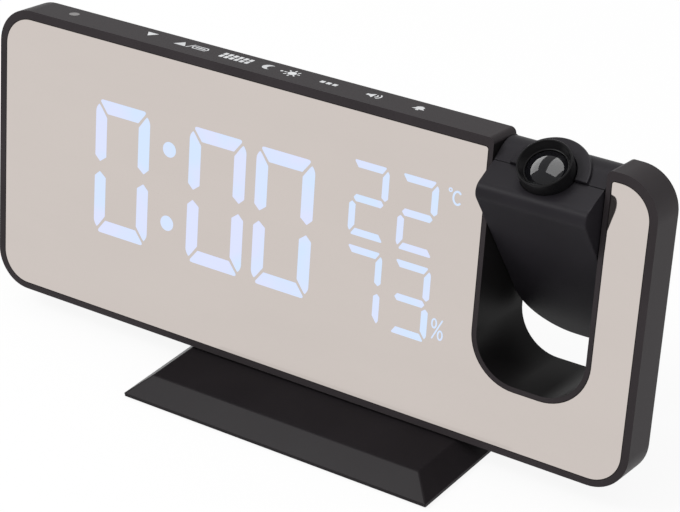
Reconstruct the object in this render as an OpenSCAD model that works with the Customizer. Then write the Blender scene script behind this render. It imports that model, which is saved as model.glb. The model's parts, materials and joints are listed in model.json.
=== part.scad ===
// Projection alarm clock with a mirror face, a swinging projector arm in a slot and a low stand.
// Row frame: +Z up, the mirror looks towards -Y, x = 0 is the middle of the body.
// The origin lies on the table, in the middle of the clock's width and of its whole depth.

/* [Body] */
// Width of the clock body
body_w = 191.7; // [186:0.1:202]
// Height of the clock body, measured along the leaning mirror
body_h = 78; // [77.6:0.2:83]
// Depth of the straight band round the body
band_depth = 10.4; // [10.2:0.1:11.4]
// Depth of the body where the back bulges
body_depth = 22; // [22:0.2:24]
// Corner radius of the body
corner_r = 10; // [8.5:0.1:11.5]
// Wall of the casings
wall = 2; // [1.8:0.1:2.2]
// Rounding of the band's front edge
edge_r = 1.7; // [1.2:0.05:1.8]
// How far the back slopes in on every side
back_slope = 8.2; // [7:0.2:9]
// Angle that the body leans back
lean = 6.4; // [4:0.2:8]
// Height of the body's lower front edge above the table
body_clear = 6.5; // [6.5:0.1:7.5]

/* [Mirror and display] */
// Thickness of the half-mirror panel
mirror_t = 1.5; // [1.2:0.1:1.6]
// Mean width of the rim round the mirror
rim = 2.05; // [2:0.05:2.3]
// How far the mirror's middle lies below the body's middle
mirror_drop = 0.3; // [0:0.05:0.3]
// Thickness of the wall that carries the mirror
seat_t = 1.6; // [1.4:0.1:1.8]
// Depth of the segment mask
mask_t = 5; // [4:0.2:5.2]
// Thickness of every circuit board
board_t = 1.2; // [1:0.1:1.4]
// Height of a time digit
time_h = 38; // [34:0.5:40]
// Width of a time digit
time_w = 18.2; // [16:0.2:18.6]
// Stroke of a time digit
time_stroke = 3.6; // [2.8:0.1:3.8]
// Height of a weather digit
small_h = 20; // [17:0.5:20.5]
// Width of a weather digit
small_w = 11.2; // [9.5:0.1:11.6]
// Stroke of a weather digit
small_stroke = 2.4; // [1.8:0.1:2.5]

/* [Slot] */
// Width of the tower to the right of the slot
tower_w = 13.55; // [13:0.05:14.4]
// Clear width of the slot
slot_w = 29.3; // [28.8:0.1:29.8]
// Wall of the slot's tube
slot_wall = 1.3; // [1.2:0.1:1.5]
// Radius of the slot's lower corners
slot_r = 11.2; // [9:0.1:12]
// Height of the slot's floor above the body's lower edge
slot_floor = 18.4; // [17.6:0.1:19]

/* [Projector arm] */
// Side clearance of the arm in the slot
arm_gap = 0.35; // [0.3:0.05:0.5]
// Depth of the pivot behind the mirror's face
pivot_depth = 10.5; // [10.5:0.1:10.8]
// Depth of the pivot below the body's top
pivot_drop = 18.2; // [17.6:0.1:19]
// Reach of the arm from the pivot to its front
arm_front = 10.3; // [10.1:0.1:10.4]
// Reach of the arm from the pivot to its back
arm_back = 10.8; // [10.4:0.1:11]
// Reach of the arm from the pivot to its top
arm_top = 16.8; // [16.6:0.1:17]
// Reach of the arm from the pivot to its lower end
arm_tail = 37; // [36:0.2:38]
// Angle that the arm is swung out, lens forward
arm_swing = 38; // [0:1:52]
// Wall of the arm's shells
arm_wall = 1.8; // [1.6:0.1:1.8]
// Radius of the hinge axles
axle_r = 3; // [2.8:0.05:3.1]
// Radial running clearance
run_gap = 0.05; // [0.03:0.01:0.07]

/* [Lens] */
// Outer radius of the focus ring
ring_r = 6.6; // [6.5:0.05:6.8]
// Height of the focus ring above the arm's top
ring_h = 4.7; // [4.2:0.1:5.2]
// Radius of the round collar behind the focus ring
collar_r = 10.1; // [9.4:0.1:10.4]
// Height of the collar above the arm's top
collar_h = 0.9; // [0.6:0.1:1.2]
// Radius of the projection lens
lens_r = 4.9; // [4.8:0.02:4.92]

/* [Stand] */
// Width of the stand along its front lower edge
stand_w = 90.5; // [80:0.5:96]
// Depth of the stand
stand_d = 43; // [41:0.5:46]
// Height of the stand's flat top above the table
stand_h = 5.7; // [5.5:0.1:5.9]
// How far each end of the stand runs out towards the back
stand_flare = 0.5; // [0:0.1:1]
// Inset of the flat top from the lower edges
stand_bevel = 5.4; // [4:0.1:6]
// Middle of the stand, to the right of the body's middle
stand_x = 9.7; // [0:0.1:12]
// How far the mirror's middle lies behind the stand's middle
body_setback = 4.2; // [3:0.1:5]
// Thickness of the stand's shell
stand_wall = 1.6; // [1.4:0.1:1.7]
// How far the rubber feet stand proud
foot_proud = 0.4; // [0.3:0.1:0.6]

/* [Back] */
// Radius of the loudspeaker
speaker_r = 18; // [16:0.5:18.5]
// Middle of the loudspeaker, in from the body's left side
speaker_in = 35.9; // [34:0.1:38]
// Diameter of the coin cell
cell_d = 20; // [20:0.1:20.4]
// Thickness of the coin cell
cell_t = 3.2; // [3:0.1:3.2]

/* [Hidden] */
$fn = 64;

slip = 0.15;                                  // gap between pieces that drop into each other
thin = 0.01;                                  // thickness of the slices that a hull joins
over = 1;                                     // overrun of a cut
half_h = body_h / 2;
mirror_z = body_clear + half_h * cos(lean);   // height of the mirror's middle
slot_x = body_w / 2 - tower_w - slot_w / 2;    // middle of the slot
pivot_z = half_h - pivot_drop;
floor_z = slot_floor - half_h;
arm_half = slot_w / 2 - arm_gap;
seat_back = mirror_t + seat_t;
board_y = mirror_t + mask_t;                  // front of the display board
main_y = board_y + board_t + 1.8;             // front of the main board
main_back = main_y + board_t;
stand_back_w = stand_w + 2 * stand_flare;
cover_inset = 1.5;                            // step from the band's rear edge to the cover
top_round = 1.4;                              // rounding where the slope meets the flat back
heel_r = 5;                                   // rounding of the arm's lower back corner

// Rearmost places of the arm's lower end and of the body, behind the stand's middle
swung = arm_swing - lean;
arm_reach = body_setback + pivot_depth * cos(lean) + pivot_z * sin(lean)
    + (arm_back - heel_r) * cos(swung) + (arm_tail - heel_r) * sin(swung) + heel_r;
body_reach = body_setback + body_depth * cos(lean)
    + (half_h - cover_inset - back_slope - top_round) * sin(lean);
frame_y = (max(arm_reach, body_reach, stand_d / 2) - stand_d / 2) / 2;

dark = "#2c2a2d";
darker = "#1b1a1c";
board_green = "#2f6b46";
metal = "#b9babd";

// ---------- Frames ----------

// Puts children, drawn round the stand's middle, in the row frame.
module on_table() {
    translate([0, -frame_y, 0]) children();
}

// Turns children, drawn in the mirror's frame, to the body's lean above the stand.
// There x runs right, y runs back from the mirror's face and z runs up the mirror.
module leaning() {
    translate([0, body_setback, mirror_z]) rotate([-lean, 0, 0]) children();
}

// Puts children, drawn in the mirror's frame, on the leaning body.
module on_body() {
    on_table() leaning() children();
}

// Puts children, drawn round the pivot with the arm folded in, on the swung arm.
module on_arm() {
    on_body() translate([slot_x, pivot_depth, pivot_z]) rotate([arm_swing, 0, 0]) children();
}

// A slab whose outline is drawn in x and z, from depth y over thickness t.
module slab(y, t) {
    translate([0, y + t, 0]) rotate([90, 0, 0]) linear_extrude(height = t) children();
}

// A profile drawn in y and z, drawn out along x from x0 to x1.
module along_x(x0, x1) {
    translate([x0, 0, 0]) rotate([90, 0, 90]) linear_extrude(height = x1 - x0) children();
}

// A round bar along x, from x0 to x1.
module rod_x(x0, x1, r) {
    translate([x0, 0, 0]) rotate([0, 90, 0]) cylinder(h = x1 - x0, r = r);
}

// A round bar along y, from y0 to y1.
module rod_y(y0, y1, r) {
    translate([0, y1, 0]) rotate([90, 0, 0]) cylinder(h = y1 - y0, r = r);
}

// A block between two corners.
module block(low, high) {
    translate(low) cube(high - low);
}

// ---------- Outlines ----------

// A rectangle from x0, y0 to x1, y1 with its own radius at each corner, counted from the lower
// left one and running anticlockwise.
module soft_box(x0, y0, x1, y1, r) {
    polygon([[x0 + r[0], y0], [x1 - r[1], y0], [x1, y0 + r[1]], [x1, y1 - r[2]],
             [x1 - r[2], y1], [x0 + r[3], y1], [x0, y1 - r[3]], [x0, y0 + r[0]]]);
    for (c = [[x0 + r[0], y0 + r[0], r[0]], [x1 - r[1], y0 + r[1], r[1]],
              [x1 - r[2], y1 - r[2], r[2]], [x0 + r[3], y1 - r[3], r[3]]])
        if (c[2] > 0) translate([c[0], c[1]]) circle(r = c[2]);
}

// A centred rectangle with equal corners.
module round_rect(w, h, r) {
    soft_box(-w / 2, -h / 2, w / 2, h / 2, [r, r, r, r]);
}

// The body's outline, drawn in by an inset.
module body_outline(inset) {
    round_rect(body_w - 2 * inset, body_h - 2 * inset, max(corner_r - inset, 0.5));
}

// The mirror's outline inside a rim of the given width.
module mirror_outline(inset) {
    translate([0, -mirror_drop]) body_outline(inset);
}

// The slot's outline, open at the top, grown by g.
module slot_outline(g) {
    translate([slot_x, 0])
        soft_box(-slot_w / 2 - g, floor_z - g, slot_w / 2 + g, half_h + 20,
                 [slot_r + g, slot_r + g, 0, 0]);
}

// A smooth convex body through a list of stations [depth, inset].
module loft(stations) {
    hull() for (s = stations) slab(s[0], thin) body_outline(s[1], $fn = 32);
}

// ---------- Forms of the housing ----------

// Stations round the front edge, along the band and over its rear edge.
front_stations = concat(
    [for (a = [0 : 22.5 : 90]) [edge_r * (1 - sin(a)), edge_r * (1 - cos(a))]],
    [[band_depth - 1.2, 0], [band_depth - 0.4, 0.35], [band_depth - thin, 1.1]]);

tongue = 2;                                   // depth of the cover's tongue inside the band

// Stations of the bulging back behind the band, moved in by a wall.
function back_stations(t) = [
    [body_depth - top_round - t * 0.9, cover_inset + back_slope - top_round + t * 0.6],
    [body_depth - 0.4 - t, cover_inset + back_slope - 0.4 + t * 0.6],
    [body_depth - thin - t, cover_inset + back_slope + 1.1 + t * 0.6]];

// The bulging back from depth y0, which is straight as far as the band's rear edge.
module back_form(y0, t = 0) {
    hull() {
        slab(y0, max(band_depth - y0, thin)) body_outline(cover_inset + t, $fn = 32);
        for (s = back_stations(t)) slab(s[0], thin) body_outline(s[1], $fn = 32);
    }
}

// Middle of the pivot, seen in the mirror's frame.
module at_pivot() {
    translate([0, pivot_depth, pivot_z]) children();
}

// ---------- Hinge ----------

bush_r = axle_r + 1.2;
boss_r = bush_r + 1.5;
boss_len = 2.2;                               // hinge boss behind the slot's wall
flange_t = 0.8;
washer_t = 0.4;
head_t = 1.2;
head_r = axle_r + 1.4;
bore_r = 1.5;                                 // wire way through an axle
wall_out = slot_w / 2 + slot_wall;            // outer face of the slot's tube from its middle
boss_out = wall_out + boss_len;

// ---------- Fasteners ----------

cover_head_y = body_depth - 6.4;              // where the cover's screw heads bear
cover_screw_r = 1.1;
cover_head_r = 2.1;
cover_well_r = cover_head_r + 0.3;
post_r = 2.5;

// Screws that hold the rear cover, as [x, z].
side_in = 11;
edge_in = 7.4;
cover_screw_at = [
    [side_in - body_w / 2, half_h - edge_in - 0.4], [side_in - body_w / 2, edge_in + 0.4 - half_h],
    [slot_x - 23.65, half_h - edge_in], [slot_x - 23.65, edge_in - half_h], [-20, edge_in - half_h],
    [slot_x + wall_out + cover_well_r + 0.9, -8]];

// A pan-head screw along y: head at y0 facing back, shank running forward.
module screw_y(y0, len, r, head_r, head_h) {
    difference() {
        union() {
            rod_y(y0 - len, y0, r);
            rod_y(y0, y0 + head_h, head_r);
        }
        for (a = [0, 90]) translate([0, y0 + head_h, 0]) rotate([0, a, 0])
            cube([head_r * 1.3, head_h, 0.5], center = true);
    }
}

// ---------- Casings ----------

stand_bolt_x = [stand_x - 22, stand_x + 22];
stand_bolt_y = band_depth / 2;                          // depth of the bolts behind the mirror's face
stand_bolt_r = 1.4;
stand_post_r = 2.8;
stand_post_h = 5;

time_z = 2.7;                                 // middles of the time and of the small digits
small_gap = 2.1;                              // between the upper and lower small digits
small_top_z = 14.9;
small_low_z = small_top_z - small_h - small_gap;
mask_side = 9.85;                             // from the body's left side to the mask
mask_x0 = mask_side - body_w / 2;
mask_x1 = slot_x - boss_out - flange_t - washer_t - head_t - 0.5;
mask_z0 = small_low_z - small_h / 2 - 4.8;
mask_z1 = small_top_z + small_h / 2 + 1.2;

// Screws that hold the display board to the casing's wall, as [x, z].
display_post_r = 2.2;
display_top_z = mask_z1 + display_post_r + slip;
display_low_z = mask_z0 - display_post_r - 1;
display_screw_at = [[mask_x0 + 14, display_low_z], [mask_x1 - 14, display_low_z],
                    [mask_x0 + 26, display_top_z], [mask_x1 - 26.6, display_top_z]];

sensor_x = mask_x0 + 6;                       // light sensor in the top
sensor_y = band_depth * 0.58;
sensor_r = 1.4;

module front_casing() on_body() color(dark) {
    difference() {
        union() {
            difference() {
                loft(front_stations);
                slab(seat_back, band_depth) body_outline(wall);
                slab(-over, mirror_t + over) mirror_outline(rim - 0.05);
                slab(0, band_depth) translate([mask_x0 - slip, mask_z0 - slip])
                    square([mask_x1 - mask_x0 + 2 * slip, mask_z1 - mask_z0 + 2 * slip]);
            }
            // Slot tube, as deep as the body, with the hinge bosses on its outside
            intersection() {
                slab(0, band_depth) slot_outline(slot_wall);
                slab(0, band_depth) body_outline(edge_r);
            }
            intersection() {
                union() {
                    slab(band_depth - over, body_depth) slot_outline(slot_wall);
                    for (s = [-1, 1]) translate([slot_x, 0, 0]) at_pivot() hinge_boss(s);
                }
                back_form(seat_back - 0.5);
            }
            for (p = cover_screw_at) translate([p[0], 0, p[1]])
                rod_y(mirror_t + 0.5, band_depth - 0.1, post_r);
            for (p = display_screw_at) translate([p[0], 0, p[1]])
                rod_y(mirror_t + 0.5, board_y, display_post_r);
            for (x = stand_bolt_x) translate([x, stand_bolt_y, -half_h + wall / 2])
                cylinder(h = stand_post_h - wall / 2 + 0.6, r = stand_post_r);
        }
        slab(-over, body_depth + 2 * over) slot_outline(0);
        translate([slot_x, 0, 0]) at_pivot() rod_x(-boss_out - over, boss_out + over, bush_r + 0.02);
        for (p = cover_screw_at) translate([p[0], 0, p[1]])
            rod_y(mirror_t + 1.6, band_depth, cover_screw_r + 0.02);
        for (p = display_screw_at) translate([p[0], 0, p[1]])
            rod_y(seat_back - 0.4, board_y + over, 0.92);
        for (x = stand_bolt_x) translate([x, stand_bolt_y, -half_h - over])
            cylinder(h = stand_post_h + over, r = stand_bolt_r + 0.02);
        translate([sensor_x, sensor_y, half_h - wall - over])
            cylinder(h = wall + 2 * over, r = sensor_r + 0.05);
    }
}

// A hinge boss behind the slot's wall, on side s of the arm.
module hinge_boss(s) {
    scale([s, 1, 1]) rod_x(slot_w / 2, boss_out, boss_r);
}

// Openings of the rear cover, as places [x, z] in the mirror's frame.
dc_block = 4.6;                               // half the width of the inlet's body
door_w = cell_d + 5;
main_x0 = -35;
main_x1 = mask_x1 - 1.6;
main_half = 24;
grille_at = [speaker_in - body_w / 2, 0];
cell_at = [-14, -9];
dc_at = [main_x1 - 13, -19];
usb_at = [(cell_at[0] + door_w / 2 + 2 + dc_at[0] - dc_block) / 2, -19];
antenna_at = [main_x1 - 12, 21];
vent_at = [main_x1 - 9, 3];
board_screw_at = [for (x = [main_x0 + 4, main_x1 - 3.5], z = [-main_half + 3, main_half - 3]) [x, z]];

grille_r = speaker_r + 1;
grille_t = 1.6;
usb_w = 13.2;
usb_h = 5.7;
dc_r = 4.4;
speaker_y = body_depth - wall;                // the speaker's rim bears on the cover's inner face
speaker_ring = 4;                             // depth of the ring that holds it
magnet_r = speaker_r * 0.48;
magnet_back = 8.4;
basket_back = 5;
vent_count = 6;
vent_pitch = 2.6;
vent_w = 1.2;
vent_len = 9;

door_t = 1.2;
door_lip = 0.7;
door_way = 12;                                // the grooves run on below the door, out of the slope
door_top = cell_at[1] + cell_d / 2 + 2.5;
door_low = cover_inset + back_slope + 0.6 - half_h;  // the flat back's lower edge
pocket_deep = cell_t + 1.6;
pocket_y = body_depth - door_t - pocket_deep;

// The battery door's way, with its side grooves; grown by g and open at the bottom by extra.
module door_form(g, extra) {
    lower_t = door_t / 2;
    block([cell_at[0] - door_w / 2 - g, body_depth - lower_t - g / 2, door_low - extra],
          [cell_at[0] + door_w / 2 + g, body_depth + (extra > 0 ? over : 0), door_top + g]);
    block([cell_at[0] - door_w / 2 - door_lip - g, body_depth - door_t, door_low - extra],
          [cell_at[0] + door_w / 2 + door_lip + g, body_depth - lower_t, door_top + g]);
}

module rear_cover() on_body() color(dark) {
    difference() {
        union() {
            difference() {
                back_form(band_depth);
                back_form(band_depth - over, wall);
            }
            // Tongue that locates the cover inside the band
            difference() {
                slab(band_depth - tongue, tongue + thin) body_outline(wall + slip);
                slab(band_depth - tongue - over, tongue + 3) body_outline(wall + slip + 1.4);
            }
            intersection() {
                for (p = cover_screw_at) translate([p[0], 0, p[1]])
                    rod_y(band_depth, body_depth, cover_well_r + 1.4);
                back_form(band_depth - over);
            }
            // Pocket of the coin cell and the ring round the loudspeaker
            block([cell_at[0] - door_w / 2 - 2, pocket_y - 1.2, door_low + 1.4],
                  [cell_at[0] + door_w / 2 + 2, body_depth - door_t / 2, door_top + 1.4]);
            translate([grille_at[0], 0, grille_at[1]]) difference() {
                rod_y(speaker_y - speaker_ring, body_depth - wall / 2, grille_r + 1.4);
                rod_y(speaker_y - speaker_ring - over, body_depth, speaker_r + slip);
            }
            for (p = board_screw_at) translate([p[0], 0, p[1]])
                rod_y(main_back, body_depth - wall / 2, 2.4);
        }
        slab(band_depth - 4, body_depth) slot_outline(slot_wall + slip);
        for (s = [-1, 1]) translate([slot_x, 0, 0]) at_pivot() scale([s, 1, 1])
            rod_x(slot_w / 2, boss_out + 3.2, boss_r + 0.3);
        for (p = cover_screw_at) translate([p[0], 0, p[1]]) {
            rod_y(0, body_depth, cover_screw_r + 0.3);
            rod_y(cover_head_y, body_depth + over, cover_well_r);
        }
        // Grille seat, socket openings, sensor vents and the antenna's hole
        translate([grille_at[0], 0, grille_at[1]]) {
            rod_y(body_depth - grille_t, body_depth + over, grille_r + 0.05);
            rod_y(body_depth - wall - over, body_depth, speaker_r - 0.6);
        }
        translate([usb_at[0] - usb_w / 2 - 0.3, body_depth - wall - over, usb_at[1] - usb_h / 2 - 0.3])
            cube([usb_w + 0.6, wall + 2 * over, usb_h + 0.6]);
        translate([dc_at[0], 0, dc_at[1]])
            rod_y(body_depth - wall - over, body_depth + over, dc_r + 0.1);
        translate([antenna_at[0], 0, antenna_at[1]])
            rod_y(body_depth - wall - over, body_depth + over, 1.8);
        for (i = [0 : vent_count - 1])
            translate([vent_at[0] - vent_len / 2, body_depth - wall - over,
                       vent_at[1] + (i - (vent_count - 1) / 2) * vent_pitch - vent_w / 2])
                cube([vent_len, wall + 2 * over, vent_w]);
        // Battery door's way and the cell's pocket
        door_form(0.1, door_way);
        translate([cell_at[0], 0, cell_at[1]])
            rod_y(pocket_y, body_depth, cell_d / 2 + 0.4);
        for (p = board_screw_at) translate([p[0], 0, p[1]])
            rod_y(main_back - over, body_depth - wall - 0.6, 0.92);
    }
}

module rear_screws() on_body() color(metal)
    for (p = cover_screw_at) translate([p[0], 0, p[1]])
        screw_y(cover_head_y, cover_head_y - mirror_t - 2.6, cover_screw_r, cover_head_r, 1.3);

module mirror_panel() on_body() color("#cfc4be")
    difference() {
        slab(0, mirror_t) mirror_outline(rim);
        slab(-over, mirror_t + 2 * over) slot_outline(slot_wall + 0.05);
    }

// ---------- Display ----------

// One bar of a digit, lying along x, with pointed ends.
module bar(len, stroke) {
    t = stroke / 2;
    polygon([[-len / 2, 0], [t - len / 2, t], [len / 2 - t, t],
             [len / 2, 0], [len / 2 - t, -t], [t - len / 2, -t]]);
}

// The seven bars of a digit; each is [x, z, angle, length].
function bars(w, h, stroke) = let (
        gap = stroke * 0.24, ex = w - stroke, ez = (h - stroke) / 2,
        lx = ex - gap, lz = ez - gap)
    [[0, ez, 0, lx], [ex / 2, ez / 2, 90, lz], [ex / 2, -ez / 2, 90, lz], [0, -ez, 0, lx],
     [-ex / 2, -ez / 2, 90, lz], [-ex / 2, ez / 2, 90, lz], [0, 0, 0, lx]];

colon_r = 2;
sign_w = 3.6;                                 // degree and percent signs
sign_h = 4.4;

// Room that the digits, the colon and the signs leave between them, shared out as weights from
// the mask's left end: before each time digit, the colon, each small digit and the signs.
spare = mask_x1 - mask_x0 - 4 * time_w - 2 * colon_r - 2 * small_w - sign_w;
weights = [1.9, 2.7, 3.5, 3.7, 2.6, 9.3, 2.6, 1.1, 2.4];
widths = [time_w, time_w, 2 * colon_r, time_w, time_w, small_w, small_w, sign_w];

function total(v, n) = n == 0 ? 0 : v[n - 1] + total(v, n - 1);

// Middle of item i of the display, counted from the left.
function item_x(i) = mask_x0 + spare * total(weights, i + 1) / total(weights, len(weights))
    + total(widths, i) + widths[i] / 2;

// The digits of the display, as [x, z, width, height, stroke].
digits = concat(
    [for (i = [0, 1, 3, 4]) [item_x(i), time_z, time_w, time_h, time_stroke]],
    [for (z = [small_top_z, small_low_z], i = [5, 6]) [item_x(i), z, small_w, small_h, small_stroke]]);
colon_at = [for (s = [1, -1]) [item_x(2), time_z + s * (time_h + 2) / 4]];
sign_at = [[item_x(7) + 1.6, small_top_z + small_h / 2 - 3], [item_x(7), small_low_z - small_h / 2 + 4.8]];

// All windows of the mask, shrunk by g.
module display_windows(g) {
    for (d = digits, b = bars(d[2], d[3], d[4]))
        translate([d[0] + b[0], d[1] + b[1]]) rotate(b[2]) bar(b[3] - 2 * g, d[4] - 2 * g);
    for (c = colon_at) translate(c) circle(r = colon_r - g, $fn = 32);
    for (c = sign_at) translate(c) square([sign_w - 2 * g, sign_h - 2 * g], center = true);
}

module segment_mask() on_body() color(darker)
    difference() {
        slab(mirror_t, mask_t) translate([mask_x0, mask_z0])
            square([mask_x1 - mask_x0, mask_z1 - mask_z0]);
        slab(mirror_t - over, mask_t + 2 * over) display_windows(0);
    }

module segment_lights() on_body() color("#dfe8ff")
    slab(mirror_t, mask_t - 1.4) display_windows(0.05);

module display_board() on_body() color(board_green)
    difference() {
        slab(board_y, board_t) union() {
            translate([mask_x0, mask_z0]) square([mask_x1 - mask_x0, mask_z1 - mask_z0]);
            for (p = display_screw_at) board_ear(p);
        }
        for (p = display_screw_at) translate([p[0], 0, p[1]])
            rod_y(board_y - over, board_y + board_t + over, 1.2);
        for (p = cover_screw_at) translate([p[0], 0, p[1]])
            rod_y(board_y - over, board_y + board_t + over, post_r + 0.4);
    }

// A square ear round a screw of the display board.
module board_ear(p) {
    r = display_post_r;
    translate([p[0] - r, p[1] < 0 ? p[1] - r : 0]) square([2 * r, abs(p[1]) + r]);
}

module segment_leds() on_body() color("#f2efe2")
    for (d = digits, b = bars(d[2], d[3], d[4]))
        translate([d[0] + b[0], board_y - 0.9, d[1] + b[1]]) rotate([0, -b[2], 0])
            translate([-1, 0, -0.55]) cube([2, 0.9, 1.1]);

module display_screws() on_body() color(metal)
    for (p = display_screw_at) translate([p[0], 0, p[1]])
        screw_y(board_y + board_t, board_y + board_t - seat_back + 0.2, 0.9, 1.8, 1);

// Touch keys: pads of conductive foam pressed against the top wall by a narrow board.
touch_z = half_h - wall - 2.2;
touch_x0 = mask_x0 + 22;                      // first and last key, and where the others lie between
touch_x1 = mask_x1 - 12.6;
touch_x = [for (t = [0, 0.184, 0.367, 0.551, 0.714, 0.857, 1]) touch_x0 + t * (touch_x1 - touch_x0)];
touch_y0 = seat_back + 1.4;
touch_y1 = band_depth - tongue - 0.3;

module touch_board() on_body() color(board_green)
    block([mask_x0 + 1, touch_y0, touch_z], [mask_x1 - 1, touch_y1, touch_z + board_t]);

module touch_pads() on_body() color("#4a4a4c")
    for (x = touch_x)
        block([x - 4, touch_y0 + 0.6, touch_z + board_t], [x + 4, touch_y1 - 0.6, half_h - wall]);

module light_sensor() on_body() color("#6f6a6c")
    translate([sensor_x, sensor_y, half_h]) {
        translate([0, 0, -wall]) cylinder(h = wall - 0.1, r = sensor_r);
        translate([-1.7, -1.7, -wall - (half_h - wall - touch_z - board_t)])
            cube([3.4, 3.4, half_h - wall - touch_z - board_t]);
    }

// ---------- Boards and sockets ----------

module main_board() on_body() color(board_green)
    difference() {
        slab(main_y, board_t) translate([main_x0, -main_half]) square([main_x1 - main_x0, 2 * main_half]);
        for (p = board_screw_at) translate([p[0], 0, p[1]])
            rod_y(main_y - over, main_back + over, 1.2);
    }

// Chips, capacitors and plugs on the back of the main board, as [x, z, width, height, depth].
board_blocks = [[14, 8, 14, 10, 1.6], [-26, -4, 6, 8, 1.8], [30, -8, 6, 6, 2.4], [0, 19.5, 12, 4, 3.4],
    [20, 19.5, 9, 4, 3.4], [-4, 9, 5, 4, 1.2], [26, 8, 3, 6, 1.2]];
board_cans = [[22, -8, 2.5, 6.5], [8, -6, 2, 5], [30, 15, 2.5, 5.5]];

module board_parts() on_body() color("#232427") {
    for (b = board_blocks)
        block([b[0] - b[2] / 2, main_back, b[1] - b[3] / 2],
              [b[0] + b[2] / 2, main_back + b[4], b[1] + b[3] / 2]);
    for (c = board_cans) translate([c[0], 0, c[1]]) rod_y(main_back, main_back + c[3], c[2]);
}

module board_screws() on_body() color(metal)
    for (p = board_screw_at) translate([p[0], 0, p[1]]) scale([1, -1, 1])
        screw_y(-main_y, 6, 0.9, 1.8, 1);

// Round power inlet with a centre pin.
module dc_inlet() on_body() color(darker)
    translate([dc_at[0], 0, dc_at[1]]) {
        difference() {
            union() {
                block([-dc_block, main_back, -dc_block - 0.4],
                      [dc_block, body_depth - wall, dc_block + 0.4]);
                rod_y(main_back, body_depth - 0.3, dc_r);
            }
            rod_y(main_back + 2, body_depth + over, 3.1);
        }
        rod_y(main_back + 1.5, body_depth - 1.6, 1);
    }

// USB outlet: a folded metal shell with its tongue.
module usb_port() on_body() color(metal)
    translate([usb_at[0], 0, usb_at[1]]) {
        difference() {
            block([-usb_w / 2, main_back, -usb_h / 2], [usb_w / 2, body_depth - 0.4, usb_h / 2]);
            block([0.4 - usb_w / 2, main_back + 1, 0.4 - usb_h / 2],
                  [usb_w / 2 - 0.4, body_depth, usb_h / 2 - 0.4]);
        }
        block([-5.4, main_back + 1, 0.1], [5.4, body_depth - 1.2, 1.9]);
    }

module antenna_bush() on_body() color(darker)
    translate([antenna_at[0], 0, antenna_at[1]]) difference() {
        union() {
            rod_y(body_depth - wall, body_depth, 1.75);
            rod_y(body_depth, body_depth + 0.8, 2.6);
            rod_y(body_depth - wall - 0.8, body_depth - wall, 2.6);
        }
        rod_y(body_depth - wall - 2, body_depth + 2, 0.8);
    }

module speaker() on_body() color("#3a3a3d")
    translate([grille_at[0], speaker_y, grille_at[1]]) rotate([90, 0, 0])
        rotate_extrude() polygon([[0, 1.6], [3.4, 2], [speaker_r - 3.6, 0.4], [speaker_r - 1.6, 1],
            [speaker_r - 1.4, 0], [speaker_r, 0], [speaker_r, 1.4], [speaker_r - 2, 2.2],
            [magnet_r, basket_back], [magnet_r, magnet_back], [0, magnet_back]]);

module speaker_grille() on_body() color(darker)
    translate([grille_at[0], 0, grille_at[1]]) difference() {
        rod_y(body_depth - grille_t, body_depth, grille_r);
        for (ring = [0 : 5], i = [0 : max(6 * ring - 1, 0)])
            rotate([0, ring == 0 ? 0 : i * 60 / ring, 0]) translate([ring * 2.75, 0, 0])
                rod_y(body_depth - grille_t - over, body_depth + over, 0.75, $fn = 16);
    }

// Temperature and moisture sensor on its own small board behind the vents.
module climate_sensor() on_body() {
    color(board_green) block([vent_at[0] - 5, body_depth - wall - 1, vent_at[1] + 6.9],
                             [vent_at[0] + 5, body_depth - wall, vent_at[1] + 11]);
    color("white") block([vent_at[0] - 3, body_depth - wall - 2.8, vent_at[1] + 7],
                         [vent_at[0] + 3, body_depth - wall - 1, vent_at[1] + 10.6]);
}

clip_t = 0.4;

module coin_cell() on_body() color(metal)
    translate([cell_at[0], 0, cell_at[1]]) {
        rod_y(pocket_y + 1.2, pocket_y + 1.2 + cell_t * 0.75, cell_d / 2);
        rod_y(pocket_y + 1.2 + cell_t * 0.75, pocket_y + 1.2 + cell_t, cell_d / 2 - 0.8);
    }

module cell_clip() on_body() color("#d6b25c")
    translate([cell_at[0], 0, cell_at[1]]) {
        block([-7, pocket_y, -2.5], [7, pocket_y + clip_t, 2.5]);
        for (s = [-1, 1]) scale([s, 1, 1])
            block([2, pocket_y + clip_t, -1.2], [6, pocket_y + 1.2, 1.2]);
    }

module battery_door() on_body() color(dark)
    difference() {
        door_form(0, 0);
        for (i = [0 : 4])
            translate([cell_at[0], body_depth, door_low + 4 + i * 1.8])
                cube([door_w * 0.5, 0.8, 0.7], center = true);
    }

// ---------- Hinge pieces ----------

// Everything here is drawn round the pivot for side s: -1 is left, 1 is right.
module at_hinge(s) {
    on_body() translate([slot_x, 0, 0]) at_pivot() scale([s, 1, 1]) children();
}

module hinge_bush(s) at_hinge(s) color("#d8d4c8")
    difference() {
        union() {
            rod_x(slot_w / 2, boss_out, bush_r);
            rod_x(boss_out, boss_out + flange_t, boss_r - 0.3);
        }
        rod_x(slot_w / 2 - over, boss_out + flange_t + over, axle_r + run_gap);
    }

module hinge_bush_left() hinge_bush(-1);
module hinge_bush_right() hinge_bush(1);

module spring_washers() for (s = [-1, 1]) at_hinge(s) color(metal)
    difference() {
        rod_x(boss_out + flange_t, boss_out + flange_t + washer_t, head_r);
        rod_x(boss_out, boss_out + flange_t + washer_t + over, axle_r + 0.2);
    }

// ---------- Stand ----------

// The stand's outline at its lower edge, drawn in by an inset.
module stand_outline(inset) {
    slant = stand_flare / stand_d;
    front = stand_w / 2 - inset + slant * inset;
    back = stand_back_w / 2 - inset - slant * inset;
    translate([stand_x, 0])
        polygon([[-front, inset - stand_d / 2], [front, inset - stand_d / 2],
                 [back, stand_d / 2 - inset], [-back, stand_d / 2 - inset]]);
}

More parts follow.
